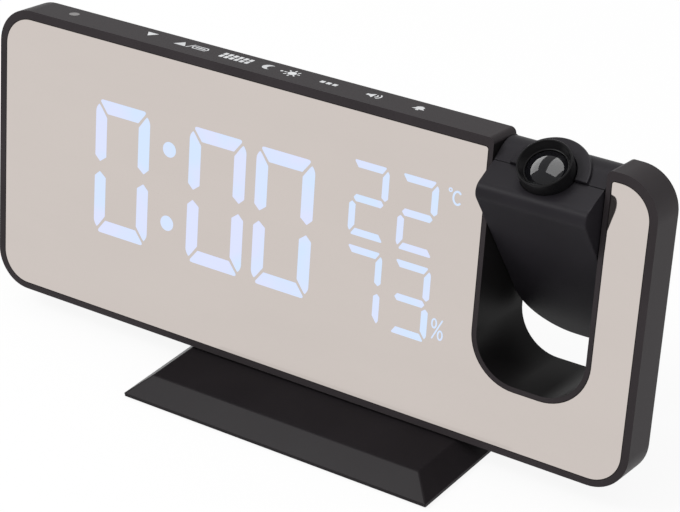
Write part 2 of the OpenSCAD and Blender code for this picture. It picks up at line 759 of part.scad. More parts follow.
// A bevelled block of the stand from z0 to z1.
module stand_block(inset0, z0, inset1, z1) {
    hull() {
        translate([0, 0, z0]) linear_extrude(height = thin) stand_outline(inset0);
        translate([0, 0, z1 - thin]) linear_extrude(height = thin) stand_outline(inset1);
    }
}

stand_edge = 0.8;                             // upright foot of the bevel
plate_t = 1.2;
saddle_x = 30;
saddle_y0 = 3;
saddle_y1 = band_depth - 1.4;
foot_r = 3.5;
plate_in = 3.2;
foot_x = stand_w / 2 - plate_in - foot_r - 1.5;
foot_y = stand_d / 2 - plate_in - foot_r - 1.3;
foot_at = [for (x = [-foot_x, foot_x], y = [-foot_y, foot_y]) [stand_x + x, y]];
plate_screw_at = [for (x = [-1, 1], y = [-foot_y, foot_y]) [stand_x + x * (foot_x - foot_r - 2.7), y]];
plate_top = foot_proud + plate_t;

module stand_shell() on_table() color(darker)
    difference() {
        union() {
            difference() {
                union() {
                    translate([0, 0, foot_proud]) linear_extrude(height = stand_edge)
                        stand_outline(0);
                    stand_block(0, foot_proud + stand_edge - thin, stand_bevel, stand_h);
                }
                translate([0, 0, foot_proud - over]) linear_extrude(height = plate_t + over)
                    stand_outline(plate_in);
                stand_block(plate_in + 1.2, plate_top - thin, stand_bevel + 1.4, stand_h - stand_wall);
            }
            // Saddle under the body
            translate([stand_x - saddle_x, body_setback - half_h * sin(lean) + saddle_y0 * cos(lean),
                       stand_h - stand_wall])
                cube([2 * saddle_x, (saddle_y1 - saddle_y0) * cos(lean), 6]);
            for (p = plate_screw_at) translate([p[0], p[1], plate_top])
                cylinder(h = stand_h - stand_wall / 2 - plate_top, r = 2);
        }
        // Seat of the leaning body, across the saddle and the block's top
        leaning() translate([stand_x - stand_w, -stand_d, -half_h])
            cube([2 * stand_w, stand_d + band_depth + 2 * slip, body_h]);
        for (x = stand_bolt_x) leaning() translate([x, stand_bolt_y, -half_h]) {
            translate([0, 0, -12]) cylinder(h = 20, r = stand_bolt_r + 0.2);
            translate([0, 0, -12 - stand_head_z]) cylinder(h = 12, r = stand_head_r + 0.2);
        }
        for (p = plate_screw_at) translate([p[0], p[1], 0])
            cylinder(h = stand_h - 0.7, r = 0.92);
    }

stand_head_r = 2.4;
stand_head_h = 1.2;
stand_head_z = 2.3;                           // head's bearing face below the body

module stand_bolts() on_body() color(metal)
    for (x = stand_bolt_x) translate([x, stand_bolt_y, -half_h]) {
        translate([0, 0, -stand_head_z]) cylinder(h = stand_head_z + stand_post_h - 1, r = stand_bolt_r);
        translate([0, 0, -stand_head_z - stand_head_h]) cylinder(h = stand_head_h, r = stand_head_r);
    }

module stand_plate() on_table() color(dark)
    difference() {
        translate([0, 0, foot_proud]) linear_extrude(height = plate_t) stand_outline(plate_in + slip);
        for (p = foot_at) translate([p[0], p[1], -over]) cylinder(h = foot_proud + 0.6 + over, r = foot_r);
        for (p = plate_screw_at) translate([p[0], p[1], -over]) {
            cylinder(h = 6, r = 1.2);
            cylinder(h = foot_proud + 0.6 + over, r = 2);
        }
    }

weight_x = foot_x - foot_r - 2.7 - 2.3;
weight_y = stand_d / 2 - stand_bevel - 1.9;

module stand_weight() on_table() color("#7d7f83")
    difference() {
        block([stand_x - weight_x, -weight_y, plate_top],
              [stand_x + weight_x, weight_y, stand_h - stand_wall - 0.2]);
        for (x = stand_bolt_x) leaning() translate([x, stand_bolt_y, -half_h - stand_d / 2])
            cylinder(h = stand_d / 2 + over, r = stand_head_r + 0.6);
    }

module plate_screws() on_table() color(metal)
    for (p = plate_screw_at) translate([p[0], p[1], foot_proud + 0.6]) {
        cylinder(h = 2.6, r = 0.9);
        translate([0, 0, -0.5]) cylinder(h = 0.5, r = 1.8);
    }

module rubber_feet() on_table() color("#161616")
    for (p = foot_at) translate([p[0], p[1], 0]) cylinder(h = foot_proud + 0.6, r = foot_r - 0.05);

// ---------- Projector arm, drawn folded in, round its pivot ----------

back_r = 7;                                   // rounding of the arm's upper back
brow_rise = 7;                                // slope of the arm's top, up to its front edge
tail_r = slot_r + 0.8;
tail_soft = 3;

// The arm's form, drawn in by an inset.
module arm_form(t) {
    intersection() {
        along_x(-arm_half + t, arm_half - t) {
            soft_box(t - arm_front, t - arm_tail, arm_back - t, arm_top - t,
                     [tail_soft, heel_r, back_r - t, 0]);
            polygon([[t - arm_front, 0], [0, 0], [0, arm_top - t],
                     [t - arm_front, arm_top - t + (arm_front - t) * tan(brow_rise)]]);
        }
        slab(-arm_front - over, arm_front + arm_back + 2 * over)
            soft_box(t - arm_half, t - arm_tail, arm_half - t, arm_top + arm_front,
                     [tail_r - t, tail_r - t, 0, 0]);
    }
}

neck_r = ring_r - 0.6;                        // the ring's neck through the arm's top
hole_r = neck_r + run_gap + 0.05;
snap_r = ring_r + 0.2;
snap_top = arm_top - arm_wall - 0.2;
snap_t = 1.4;
tube_r = 6.3;                                 // bore of the optics tube
tube_wall = 1;
tube_low = -25;
tube_top = 9;
seat_len = 2.6;                               // bosses that grip an axle inside the arm
seat_out = arm_half - arm_wall;
seat_in = seat_out - seat_len;
grip_t = 1.2;                                 // collar on the axle's inner end

arm_screw_at = [[-9.6, -26.5], [9.6, -26.5], [-10.2, 9.6], [10.2, 9.6]];
arm_post_r = 2.1;
arm_screw_r = 0.9;
arm_sink = 3.4;                               // depth of the arm's screw heads below its back

// Half of the arm: s is -1 for the front shell and 1 for the rear one.
module arm_half_space(s) {
    scale([1, s, 1]) block([-40, 0, -60], [40, 30, 40]);
}

module arm_shell(s) {
    difference() {
        union() {
            difference() {
                arm_form(0);
                arm_form(arm_wall);
            }
            if (s > 0) difference() {
                translate([0, 0, arm_top - back_r]) cylinder(h = back_r + collar_h, r = collar_r);
                arm_form(arm_wall);
                translate([0, 0, arm_top - back_r - over])
                    cylinder(h = back_r - arm_wall + over, r = collar_r - arm_wall);
            }
            // Grips round the axles, cradles of the optics tube and screw posts
            intersection() {
                arm_form(0);
                union() {
                    for (m = [-1, 1]) scale([m, 1, 1]) {
                        rod_x(seat_in, seat_out + thin, axle_r + 1.6);
                        block([seat_in, -arm_front, -1], [seat_out, arm_back, 1]);
                    }
                    for (z = [tube_low + 3, tube_top - 6]) translate([0, 0, z])
                        block([-arm_half, -arm_front, 0], [arm_half, arm_back, 1.4]);
                    for (p = arm_screw_at) translate([p[0], 0, p[1]]) {
                        rod_y(-arm_front, arm_back, arm_post_r);
                        rod_y(arm_back - arm_sink - 1.2, arm_back, arm_post_r + 1.2);
                    }
                }
            }
        }
        arm_half_space(-s);
        rod_x(seat_in - 3, arm_half + over, axle_r + 0.02);
        rod_x(-arm_half - over, 3 - seat_in, axle_r + 0.02);
        for (m = [-1, 1]) scale([m, 1, 1])
            rod_x(seat_in - 4, seat_in, axle_r + 1.1);
        translate([0, 0, tube_low - over]) cylinder(h = tube_top - tube_low + 2 * over,
                                                    r = tube_r + tube_wall + 0.05);
        translate([0, 0, snap_top - snap_t - 2]) cylinder(h = snap_t + 2.2, r = snap_r + 0.2);
        translate([0, 0, 0]) cylinder(h = 40, r = hole_r);
        translate([0, 0, arm_top]) cylinder(h = 10, r = ring_r + 0.15);
        for (p = arm_screw_at) translate([p[0], 0, p[1]]) {
            rod_y(-arm_front + 2.4, arm_back + over, arm_screw_r + (s > 0 ? 0.25 : 0.02));
            rod_y(arm_back - arm_sink, arm_back + over, 2.2);
        }
    }
}

module arm_front_shell() on_arm() color(dark) arm_shell(-1);
module arm_rear_shell() on_arm() color(dark) arm_shell(1);

module arm_screws() on_arm() color(metal)
    for (p = arm_screw_at) translate([p[0], 0, p[1]])
        screw_y(arm_back - arm_sink, arm_sink + 11, arm_screw_r, 1.9, 1.2);

// Hollow axle that turns with the arm; the left one carries the lamp's wires.
module hinge_axle(s) {
    scale([s, 1, 1]) difference() {
        union() {
            rod_x(seat_in - 2, boss_out + flange_t + washer_t + 0.1, axle_r);
            rod_x(seat_in - grip_t - 0.05, seat_in - 0.05, axle_r + 1);
            rod_x(boss_out + flange_t + washer_t + 0.05,
                  boss_out + flange_t + washer_t + 0.05 + head_t, head_r);
        }
        rod_x(seat_in - 3, boss_out + 5, bore_r);
    }
}

module hinge_axle_left() on_arm() color(metal) hinge_axle(-1);
module hinge_axle_right() on_arm() color(metal) hinge_axle(1);

key_w = 1.6;
key_r = tube_r + 0.5;
carrier_r = neck_r - 0.65;
carrier_low = 3;
carrier_top = arm_top + 1.2;
key_top = tube_top - 1.6;

module optics_tube() on_arm() color(darker)
    difference() {
        union() {
            translate([0, 0, tube_low])
                cylinder(h = tube_top - tube_low, r = tube_r + tube_wall);
        }
        translate([0, 0, tube_low + 6]) cylinder(h = 60, r = tube_r - 0.6);
        translate([0, 0, tube_low - over]) cylinder(h = 12, r = tube_r - 1.6);
        // Seat of the condenser from below, keyways of the lens carrier, and the image cell's seat
        translate([0, 0, tube_low - over]) cylinder(h = 5 + over, r = tube_r - 0.4);
        block([-key_r - 0.2, -key_w / 2 - 0.1, carrier_low - 1.2],
              [key_r + 0.2, key_w / 2 + 0.1, tube_top + over]);
        block([-4.6, -tube_r - 2, image_z], [4.6, tube_r + 2, image_z + 1.3]);
    }

image_z = -12;

module image_cell() on_arm() color("#55606e")
    block([-4.5, -tube_r - 0.9, image_z + 0.1], [4.5, tube_r + 0.9, image_z + 1.2]);

module condenser_lens() on_arm() color("#dfeaf2")
    translate([0, 0, tube_low + 2]) rotate_extrude() intersection() {
        translate([0, -6.2]) circle(r = 9);
        square([tube_r - 0.45, 5]);
    }

module lamp_board() on_arm() color(board_green)
    block([-6.1, -6.1, tube_low - board_t], [6.1, 6.1, tube_low]);

module lamp_chip() on_arm() color("#f3e9b8")
    block([-1.75, -1.4, tube_low], [1.75, 1.4, tube_low + 1]);

// ---------- Focus ring and lens ----------

ring_top = arm_top + ring_h;
rim_r = ring_r - 0.5;
funnel_low = arm_top + 1.5;

module focus_ring() on_arm() color(darker)
    rotate_extrude() polygon([
        [carrier_r + run_gap, snap_top - snap_t], [snap_r, snap_top - snap_t], [snap_r, snap_top],
        [neck_r, snap_top], [neck_r, arm_top + 0.15], [ring_r, arm_top + 0.15],
        [ring_r, ring_top - 0.5], [ring_r - 0.25, ring_top], [rim_r, ring_top],
        [carrier_r + run_gap, funnel_low]]);

lens_seat = arm_top - 1.5;

module lens_carrier() on_arm() color(darker)
    difference() {
        union() {
            translate([0, 0, carrier_low]) cylinder(h = carrier_top - carrier_low, r = carrier_r);
            block([-key_r, -key_w / 2, carrier_low], [key_r, key_w / 2, key_top - 2]);
        }
        translate([0, 0, carrier_low - over]) cylinder(h = 40, r = lens_r - 0.6);
        translate([0, 0, lens_seat]) cylinder(h = 10, r = lens_r + 0.04);
    }

lens_edge = 1.1;                              // height of the lens's upright edge
lens_curve = 5.5;                             // radius of its dome
retainer_r = lens_r - 0.4;

// Height above the dome's centre at which the dome is r wide.
function dome_to(r) = sqrt(pow(lens_curve, 2) - pow(r, 2));

// A domed lens whose flat back stands on the carrier's step.
module projection_lens() on_arm() color("#cfd8e6")
    translate([0, 0, lens_seat]) rotate_extrude() intersection() {
        translate([0, lens_edge - dome_to(lens_r)]) circle(r = lens_curve, $fn = 96);
        square([lens_r, lens_curve]);
    }

// A ring pressed in over the dome's shoulder.
module lens_retainer() on_arm() color(darker)
    difference() {
        translate([0, 0, lens_seat + lens_edge + dome_to(retainer_r) - dome_to(lens_r) + 0.05])
            cylinder(h = 0.8, r = lens_r);
        translate([0, 0, lens_seat]) cylinder(h = 6, r = retainer_r);
    }

front_casing();
rear_cover();
rear_screws();
mirror_panel();
segment_mask();
segment_lights();
display_board();
segment_leds();
display_screws();
touch_board();
touch_pads();
light_sensor();
main_board();
board_parts();
board_screws();
dc_inlet();
usb_port();
antenna_bush();
speaker();
speaker_grille();
climate_sensor();
coin_cell();
cell_clip();
battery_door();
hinge_bush_left();
hinge_bush_right();
spring_washers();
stand_shell();
stand_plate();
stand_weight();
plate_screws();
stand_bolts();
rubber_feet();
arm_front_shell();
arm_rear_shell();
arm_screws();
hinge_axle_left();
hinge_axle_right();
optics_tube();
lamp_board();
lamp_chip();
condenser_lens();
image_cell();
focus_ring();
lens_carrier();
projection_lens();
lens_retainer();
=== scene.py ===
# %% [markdown]
# # A projection alarm clock, dressed on its solid model
# The solids come in as a fixed frame. Every new piece below is drawn in millimetres in a frame
# that follows the real clock, so the numbers read like a drawing, and is then placed in metres.

# %% Load the frame
import json
from math import radians, sin, cos, pi, atan2
import bpy, bmesh
from mathutils import Matrix, Vector


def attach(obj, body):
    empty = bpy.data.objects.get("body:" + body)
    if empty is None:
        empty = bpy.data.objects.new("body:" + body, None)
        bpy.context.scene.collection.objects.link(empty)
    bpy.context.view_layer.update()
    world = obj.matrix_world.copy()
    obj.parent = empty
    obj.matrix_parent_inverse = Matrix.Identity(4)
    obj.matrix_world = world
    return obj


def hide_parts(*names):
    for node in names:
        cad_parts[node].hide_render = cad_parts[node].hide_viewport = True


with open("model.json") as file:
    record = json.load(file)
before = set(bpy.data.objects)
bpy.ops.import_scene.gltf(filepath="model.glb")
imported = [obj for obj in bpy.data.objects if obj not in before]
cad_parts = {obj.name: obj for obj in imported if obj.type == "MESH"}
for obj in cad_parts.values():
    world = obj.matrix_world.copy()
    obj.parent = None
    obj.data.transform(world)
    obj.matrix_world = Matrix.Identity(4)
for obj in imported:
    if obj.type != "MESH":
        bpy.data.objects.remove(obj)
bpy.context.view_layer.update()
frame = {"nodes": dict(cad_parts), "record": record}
print("nodes", len(frame["nodes"]))

# %% [markdown]
# The body leans back on its stand and the projector arm is swung in the body's slot. Every piece
# could be drawn where it lies on the table, but then each corner would be a sum of sines. Instead,
# matrices carry a drawing to its place: `on_table` takes millimetres to metres, `on_body` has x to
# the right, y back from the mirror and z up the mirror, and `on_arm` is drawn round the pivot, with
# the arm folded in.

# %% Frames of the body and the arm
LEAN, SWING = radians(6.4), radians(38)
FRAME_Y = 11.0803                    # from the stand's middle to the middle of the clock's depth
MIRROR_Y, MIRROR_Z = 4.2, 45.25695   # the middle of the body's front, from the stand's middle
SLOT_X, PIVOT_Y, PIVOT_Z = 67.65, 10.5, 20.8
on_table = Matrix.Scale(0.001, 4) @ Matrix.Translation((0, -FRAME_Y, 0))
on_body = on_table @ Matrix.Translation((0, MIRROR_Y, MIRROR_Z)) @ Matrix.Rotation(-LEAN, 4, "X")
on_arm = on_body @ Matrix.Translation((SLOT_X, PIVOT_Y, PIVOT_Z)) @ Matrix.Rotation(SWING, 4, "X")
print("pivot at", [round(v, 5) for v in on_arm.translation])

# %% [markdown]
# Moulded plastic is never one flat colour. Its spark-eroded tool leaves a grain of a few tenths
# of a millimetre, and handling leaves soft patches that shine more or less. That could be painted
# in an image, but noise needs no picture and has no seams. One helper makes such a finish: fine
# noise drives a bump, and slow noise moves the colour and the roughness.

# %% A helper for finishes
def finish(name, colour, rough, metal=0.0, shine=0.5, grain=2600, depth=0.02, spread=0.12, slow=45,
           rough_spread=0.06, stretch=(1, 1, 1)):
    """Plastic or metal, whose colour and roughness drift slowly under a fine grain."""
    mat = bpy.data.materials.new(name)
    mat.use_nodes = True
    nt = mat.node_tree
    bsdf = nt.nodes["Principled BSDF"]
    bsdf.inputs["Metallic"].default_value = metal
    bsdf.inputs["Specular IOR Level"].default_value = shine
    # fine noise for the grain and wide noise for the patches, in the object's own coordinates
    at = nt.nodes.new("ShaderNodeTexCoord")
    move = nt.nodes.new("ShaderNodeMapping")
    move.inputs["Scale"].default_value = stretch
    nt.links.new(at.outputs["Object"], move.inputs["Vector"])
    fine = nt.nodes.new("ShaderNodeTexNoise")
    fine.inputs["Scale"].default_value = grain
    fine.inputs["Detail"].default_value = 3
    wide = nt.nodes.new("ShaderNodeTexNoise")
    wide.inputs["Scale"].default_value = slow
    wide.inputs["Detail"].default_value = 4
    for n in (fine, wide):
        nt.links.new(move.outputs["Vector"], n.inputs["Vector"])
    # the grain is a bump of so many millimetres
    bump = nt.nodes.new("ShaderNodeBump")
    bump.inputs["Strength"].default_value = 0.6
    bump.inputs["Distance"].default_value = depth * 0.001
    nt.links.new(fine.outputs["Fac"], bump.inputs["Height"])
    nt.links.new(bump.outputs["Normal"], bsdf.inputs["Normal"])
    # the patches move the colour and the roughness a little to both sides
    ramp = nt.nodes.new("ShaderNodeValToRGB")
    ramp.color_ramp.elements[0].position = 0.3
    ramp.color_ramp.elements[1].position = 0.7
    ramp.color_ramp.elements[0].color = [c * (1 - spread) for c in colour] + [1]
    ramp.color_ramp.elements[1].color = [min(c * (1 + spread), 1) for c in colour] + [1]
    nt.links.new(wide.outputs["Fac"], ramp.inputs["Fac"])
    nt.links.new(ramp.outputs["Color"], bsdf.inputs["Base Color"])
    span = nt.nodes.new("ShaderNodeMapRange")
    span.inputs["To Min"].default_value = max(rough - rough_spread, 0.02)
    span.inputs["To Max"].default_value = min(rough + rough_spread, 1)
    nt.links.new(wide.outputs["Fac"], span.inputs["Value"])
    nt.links.new(span.outputs["Result"], bsdf.inputs["Roughness"])
    return mat

# %% [markdown]
# The clock is all black, but of six blacks. The casing is warm and matt, the arm a little bluer,
# the stand smoother, the slot's walls darker with hardly any grain, partly their own black and
# partly painted shade of the deep slot, the focus ring nearly without colour, and the pieces inside
# darkest. Black plastic could be given much more shine, but under an even white room that would
# turn it grey, so the shine is low and the base colour a little higher.

# %% The clock's finishes
casing_black = finish("casing_black", (0.030, 0.0255, 0.0275), 0.42, shine=0.07, grain=3200, depth=0.03)
# the slot's black is darker than the casing: partly its own plastic, partly painted shade of the deep slot
slot_shade_black = finish("slot_shade_black", (0.0105, 0.0098, 0.0102), 0.36, shine=0.035, grain=900, depth=0.006)
arm_black = finish("arm_black", (0.0165, 0.0150, 0.0180), 0.40, shine=0.08, grain=3200, depth=0.03)
ring_black = finish("ring_black", (0.0075, 0.0072, 0.0078), 0.28, shine=0.15, grain=3200, depth=0.02)
inner_black = finish("inner_black", (0.004, 0.004, 0.004), 0.6, shine=0.2, grain=2200, depth=0.04)
stand_black = finish("stand_black", (0.0155, 0.0133, 0.0147), 0.36, shine=0.083, grain=3000, depth=0.03)
print("finishes", len(bpy.data.materials))

# %% [markdown]
# The face is a half-mirror: a thin metal coat on clear sheet. It could be glass over a dark box,
# with two layers to trace, but a metal shows the same thing at once: the colour of the room,
# warmed and dimmed by the coat. The tool marks of the sheet are very faint streaks across it.

# %% The mirror's finish
mirror_coat = finish("mirror_coat", (0.610, 0.553, 0.520), 0.045, metal=1.0, grain=260, depth=0.0012,
                     spread=0.012, slow=22, rough_spread=0.02, stretch=(1, 1, 3.2))
print("mirror's finish", mirror_coat.name)

# %% [markdown]
# The lit segments are white diffusers behind the mirror. Real lamps behind a real half-mirror
# would be slow to trace, so the light is made where it comes out. An emission of strength 1 shows
# its colour as it is written, and a little noise in it keeps each bar from looking printed. The
# marks on the top take the same helper in a duller white, so that they read on the black: they are
# print that glows with a painted light.

# %% The light of the segments, and a painted glow for the print
def glow(name, cool, warm, strength):
    """A light that drifts between a cool and a warm white."""
    mat = bpy.data.materials.new(name)
    mat.use_nodes = True
    nt = mat.node_tree
    bsdf = nt.nodes["Principled BSDF"]
    bsdf.inputs["Base Color"].default_value = (0.02, 0.02, 0.02, 1)
    bsdf.inputs["Roughness"].default_value = 0.3
    bsdf.inputs["Specular IOR Level"].default_value = 0.0
    at = nt.nodes.new("ShaderNodeTexCoord")
    noise = nt.nodes.new("ShaderNodeTexNoise")
    noise.inputs["Scale"].default_value = 70
    ramp = nt.nodes.new("ShaderNodeValToRGB")
    ramp.color_ramp.elements[0].position = 0.4
    ramp.color_ramp.elements[1].position = 0.6
    ramp.color_ramp.elements[0].color = (*cool, 1)
    ramp.color_ramp.elements[1].color = (*warm, 1)
    nt.links.new(at.outputs["Object"], noise.inputs["Vector"])
    nt.links.new(noise.outputs["Fac"], ramp.inputs["Fac"])
    nt.links.new(ramp.outputs["Color"], bsdf.inputs["Emission Color"])
    bsdf.inputs["Emission Strength"].default_value = strength
    return mat

segment_glow = glow("segment_glow", (0.655, 0.785, 1.0), (0.715, 0.765, 1.0), 1.0)
# the printed marks glow too: print given a painted light, in a duller white
glowing_print = glow("glowing_print", (0.66, 0.67, 0.68), (0.78, 0.79, 0.80), 1.0)
print("finishes that glow", segment_glow.name, glowing_print.name)

# %% [markdown]
# A helper turns a bmesh that is drawn in millimetres into a finished piece. It points the faces
# outwards, smooths what bends by less than 30 degrees, moves the piece to its place and names
# the body it rides on. The object could be moved instead of its mesh, but the finishes follow an
# object's own coordinates, and those have to be metres for all pieces alike.

# %% Make a piece
def shade(bm):
    """Smooths the faces, and keeps the edges sharp that bend by 30 degrees or more."""
    for f in bm.faces:
        f.smooth = True
    for e in bm.edges:
        e.smooth = len(e.link_faces) == 2 and e.calc_face_angle(pi) < radians(30)

def keep_flats(obj):
    """Lets large flat faces rule the shading, so that only the rounded edges bend the light."""
    mod = obj.modifiers.new("normals", "WEIGHTED_NORMAL")
    mod.keep_sharp = True

def piece(name, bm, place, material, body="root", slot="black_casing", hides=()):
    """Makes an object of a drawing, and names its body and the solids it stands for. Its slot is not used.
    """
    bmesh.ops.remove_doubles(bm, verts=bm.verts, dist=0.0005)
    bmesh.ops.recalc_face_normals(bm, faces=bm.faces)
    shade(bm)
    bm.transform(place)
    mesh = bpy.data.meshes.new(name)
    bm.to_mesh(mesh)
    bm.free()
    obj = bpy.data.objects.new(name, mesh)
    bpy.context.scene.collection.objects.link(obj)
    obj.data.materials.append(material)
    keep_flats(obj)
    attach(obj, body)
    if hides:
        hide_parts(*hides)
    print(name, len(mesh.polygons), "faces")
    return obj

# %% [markdown]
# Most of the clock's pieces start as a flat outline with rounded corners. Such an outline could
# be a curve, but a curve's points are hard to count on. Here it starts as a few corner points: a
# vertex bevel with a profile of 0.5 turns each into a true arc, and an extrusion gives the sheet
# its depth.

# %% Outlines and extrusions
def outline(corners, segments=14):
    """A flat face in x and z, from corners [x, z, radius]."""
    bm = bmesh.new()
    bm.faces.new([bm.verts.new((x, 0, z)) for x, z, r in corners])
    for x, z, r in corners:
        if r > 0:
            v = min(bm.verts, key=lambda v: (v.co - Vector((x, 0, z))).length)
            bmesh.ops.bevel(bm, geom=[v], offset=r, offset_type="OFFSET", segments=segments,
                            profile=0.5, affect="VERTICES", material=-1)
    return bm

def only_verts(made):
    """The vertices among what an operator made."""
    return [g for g in made["geom"] if isinstance(g, bmesh.types.BMVert)]

def extrude(bm, move):
    """Draws the flat face out by a vector, as a closed solid."""
    made = bmesh.ops.extrude_face_region(bm, geom=bm.faces[:])
    bmesh.ops.translate(bm, vec=move, verts=only_verts(made))
    bmesh.ops.recalc_face_normals(bm, faces=bm.faces)
    return bm

def soften(bm, edges, width, segments=3):
    bmesh.ops.bevel(bm, geom=edges, offset=width, offset_type="OFFSET", segments=segments, profile=0.5,
                    affect="EDGES", material=-1, clamp_overlap=True)

def sheet(corners, y0, y1, segments=14):
    """An outline, drawn out from y0 to y1."""
    bm = outline(corners, segments)
    bmesh.ops.translate(bm, vec=(0, y0, 0), verts=bm.verts)
    return extrude(bm, (0, y1 - y0, 0))

# %% [markdown]
# Pockets and holes are milled or moulded into a solid block. They could be drawn as part of the
# outline only where they go right through. Where they don't, one solid is carved out of another
# by a Boolean modifier, whose result is taken as a mesh, so that bevels can follow.

# %% Carve one solid out of another
def loose(bm, name):
    """Turns a bmesh into an object that lives only while a piece is made."""
    bmesh.ops.recalc_face_normals(bm, faces=bm.faces)
    mesh = bpy.data.meshes.new(name)
    bm.to_mesh(mesh)
    bm.free()
    obj = bpy.data.objects.new(name, mesh)
    bpy.context.scene.collection.objects.link(obj)
    return obj

def carve(bm, tools):
    """Subtracts closed solids from a closed solid and gives back what is left."""
    block = loose(bm, "block")
    for part in tools:
        tool = loose(part, "tool")
        mod = block.modifiers.new("cut", "BOOLEAN")
        mod.operation, mod.solver, mod.object = "DIFFERENCE", "EXACT", tool
        bpy.context.view_layer.update()
        deps = bpy.context.evaluated_depsgraph_get()
        left = bpy.data.meshes.new_from_object(block.evaluated_get(deps))
        block.modifiers.clear()
        block.data = left
        bpy.data.objects.remove(tool)
    out = bmesh.new()
    out.from_mesh(block.data)
    bpy.data.objects.remove(block)
    bmesh.ops.remove_doubles(out, verts=out.verts, dist=0.002)
    return out

# %% [markdown]
# The front casing is a straight band, 10.4 mm deep, whose front edge is rounded by 1.7 mm. It
# could be a box with a slot cut through it, but the slot is open at the top, so it belongs to the
# outline, and its corners are then true arcs as well. A pocket for the mirror is carved into the
# front, and leaves a narrow dark gap round the panel. The slot's inner walls are smoother than the
# outside and darker, partly their own black and partly painted shade of the deep slot, so their
# faces take a second material.

# %% The front casing
BODY_W, BODY_H, BAND, DEPTH = 191.7, 78, 10.4, 22
BODY_R, FRONT_EDGE, REAR_EDGE, POCKET_D, PANEL_T = 10, 1.7, 0.7, 1.5, 1.45
SLOT_L, SLOT_R, FLOOR, SLOT_LOW_R = 53.0, 82.3, -20.6, 11.2

def notched(inset, grow, drop=0.0, tip=1.5):
    """The body's outline, drawn in by an inset, with the slot's notch wider by grow."""
    w, h, r = BODY_W / 2 - inset, BODY_H / 2 - inset, BODY_R - inset
    low = FLOOR - grow, SLOT_LOW_R + grow
    return [(-w, -h - drop, r), (w, -h - drop, r), (w, h - drop, r),
            (SLOT_R + grow, h - drop, tip), (SLOT_R + grow, *low),
            (SLOT_L - grow, *low), (SLOT_L - grow, h - drop, tip), (-w, h - drop, r)]

def in_notch(v, grow=0.05):
    return SLOT_L - grow < v.co.x < SLOT_R + grow and v.co.z < BODY_H / 2 - 1.4

def edges_in_plane(bm, y, near=0.01):
    return [e for e in bm.edges if all(abs(v.co.y - y) < near for v in e.verts)]

bm = sheet(notched(0, 0), 0, BAND)
front, rear = edges_in_plane(bm, 0), edges_in_plane(bm, BAND)
soften(bm, [e for e in front if not any(in_notch(v) for v in e.verts)], FRONT_EDGE, 6)
soften(bm, [e for e in rear if e.is_valid and not any(in_notch(v) for v in e.verts)], REAR_EDGE, 3)
lip = [e for e in edges_in_plane(bm, 0) if all(in_notch(v) for v in e.verts)
       and len({f.normal.y < -0.9 for f in e.link_faces}) == 2]
soften(bm, lip, 0.35, 2)
pocket = sheet(notched(inset=1.95, grow=1.2, drop=0.3, tip=0.9), -1, POCKET_D)
bm = carve(bm, [pocket])
casing = piece("front_band", bm, on_body, casing_black, hides=["front_casing"])

# %% The slot's walls, darker with painted shade
casing.data.materials.append(slot_shade_black)
to_body = on_body.inverted()
for face in casing.data.polygons:
    at = to_body @ face.center
    if SLOT_L - 0.1 < at.x < SLOT_R + 0.1 and at.y > 0.5 and FLOOR - 0.1 < at.z < BODY_H / 2 - 2:
        face.material_index = 1
print("faces of the slot's walls", sum(f.material_index for f in casing.data.polygons))

# %% [markdown]
# Behind the band the slot goes on as a tube with a wall of 1.3 mm, open at the top. It could be
# a sheet with a Solidify modifier, but the wall's two radii are known, so it is one strip outline,
# extruded to the back. Its ends follow the slope of the rear cover, so a plane trims them there.

# %% The slot's tube
TUBE_WALL, TUBE_TOP = 1.3, BODY_H / 2 - 1.5

def strip(t):
    """A U round the slot, as thick as t."""
    r = SLOT_LOW_R
    return [(SLOT_L - t, TUBE_TOP, 0), (SLOT_L - t, FLOOR - t, r + t), (SLOT_R + t, FLOOR - t, r + t),
            (SLOT_R + t, TUBE_TOP, 0), (SLOT_R, TUBE_TOP, 0), (SLOT_R, FLOOR, r), (SLOT_L, FLOOR, r),
            (SLOT_L, TUBE_TOP, 0)]

def trim(bm, at, normal):
    """Cuts away what lies on the normal's side of a plane."""
    return bmesh.ops.bisect_plane(bm, geom=bm.verts[:] + bm.edges[:] + bm.faces[:], dist=0.001,
                                  plane_co=at, plane_no=normal, clear_outer=True)["geom_cut"]

def close(bm):
    """Fills every open loop with a face."""
    bmesh.ops.holes_fill(bm, edges=[e for e in bm.edges if e.is_boundary], sides=0)

bm = sheet(strip(TUBE_WALL), BAND - 0.02, DEPTH)
cover_slope = Vector((0, 6.8, 10.2)).normalized()
cut = trim(bm, (0, BAND, TUBE_TOP), cover_slope)
bmesh.ops.contextual_create(bm, geom=[g for g in cut if isinstance(g, bmesh.types.BMEdge)])
close(bm)
# the tube takes the slot's darker black: partly its own plastic, partly painted shade of the deep slot
piece("slot_tube", bm, on_body, slot_shade_black)

# %% [markdown]
# The mirror is a flat panel with the same notch, so it takes the casing's outline, drawn in. Its
# edge could be left sharp, but barely broken it catches a thin line of light. In the gloss of the
# pieces near it the panel would show the whole white room, where a real one lets half of the light
# through into the dark. So it is hidden from glossy rays, and its dark pocket shows in its place.

# %% The mirror
bm = sheet(notched(inset=2.1, grow=1.35, drop=0.3, tip=0.7), 0, PANEL_T)
soften(bm, edges_in_plane(bm, 0), 0.16, 2)
mirror = piece("mirror_sheet", bm, on_body, mirror_coat, slot="mirror", hides=["mirror_panel"])
mirror.visible_glossy = False

# %% [markdown]
# Each lit segment is a bar with mitred ends, as in any seven-segment display. A font could write
# the digits, but one rule that draws a segment from its letter, a to g, gives every digit at any
# size. The bars are flat outlines that stand three hundredths of a millimetre in front of the
# mirror, where their light comes out of it. The clock shows 0:00, 22 degrees and 73 percent.

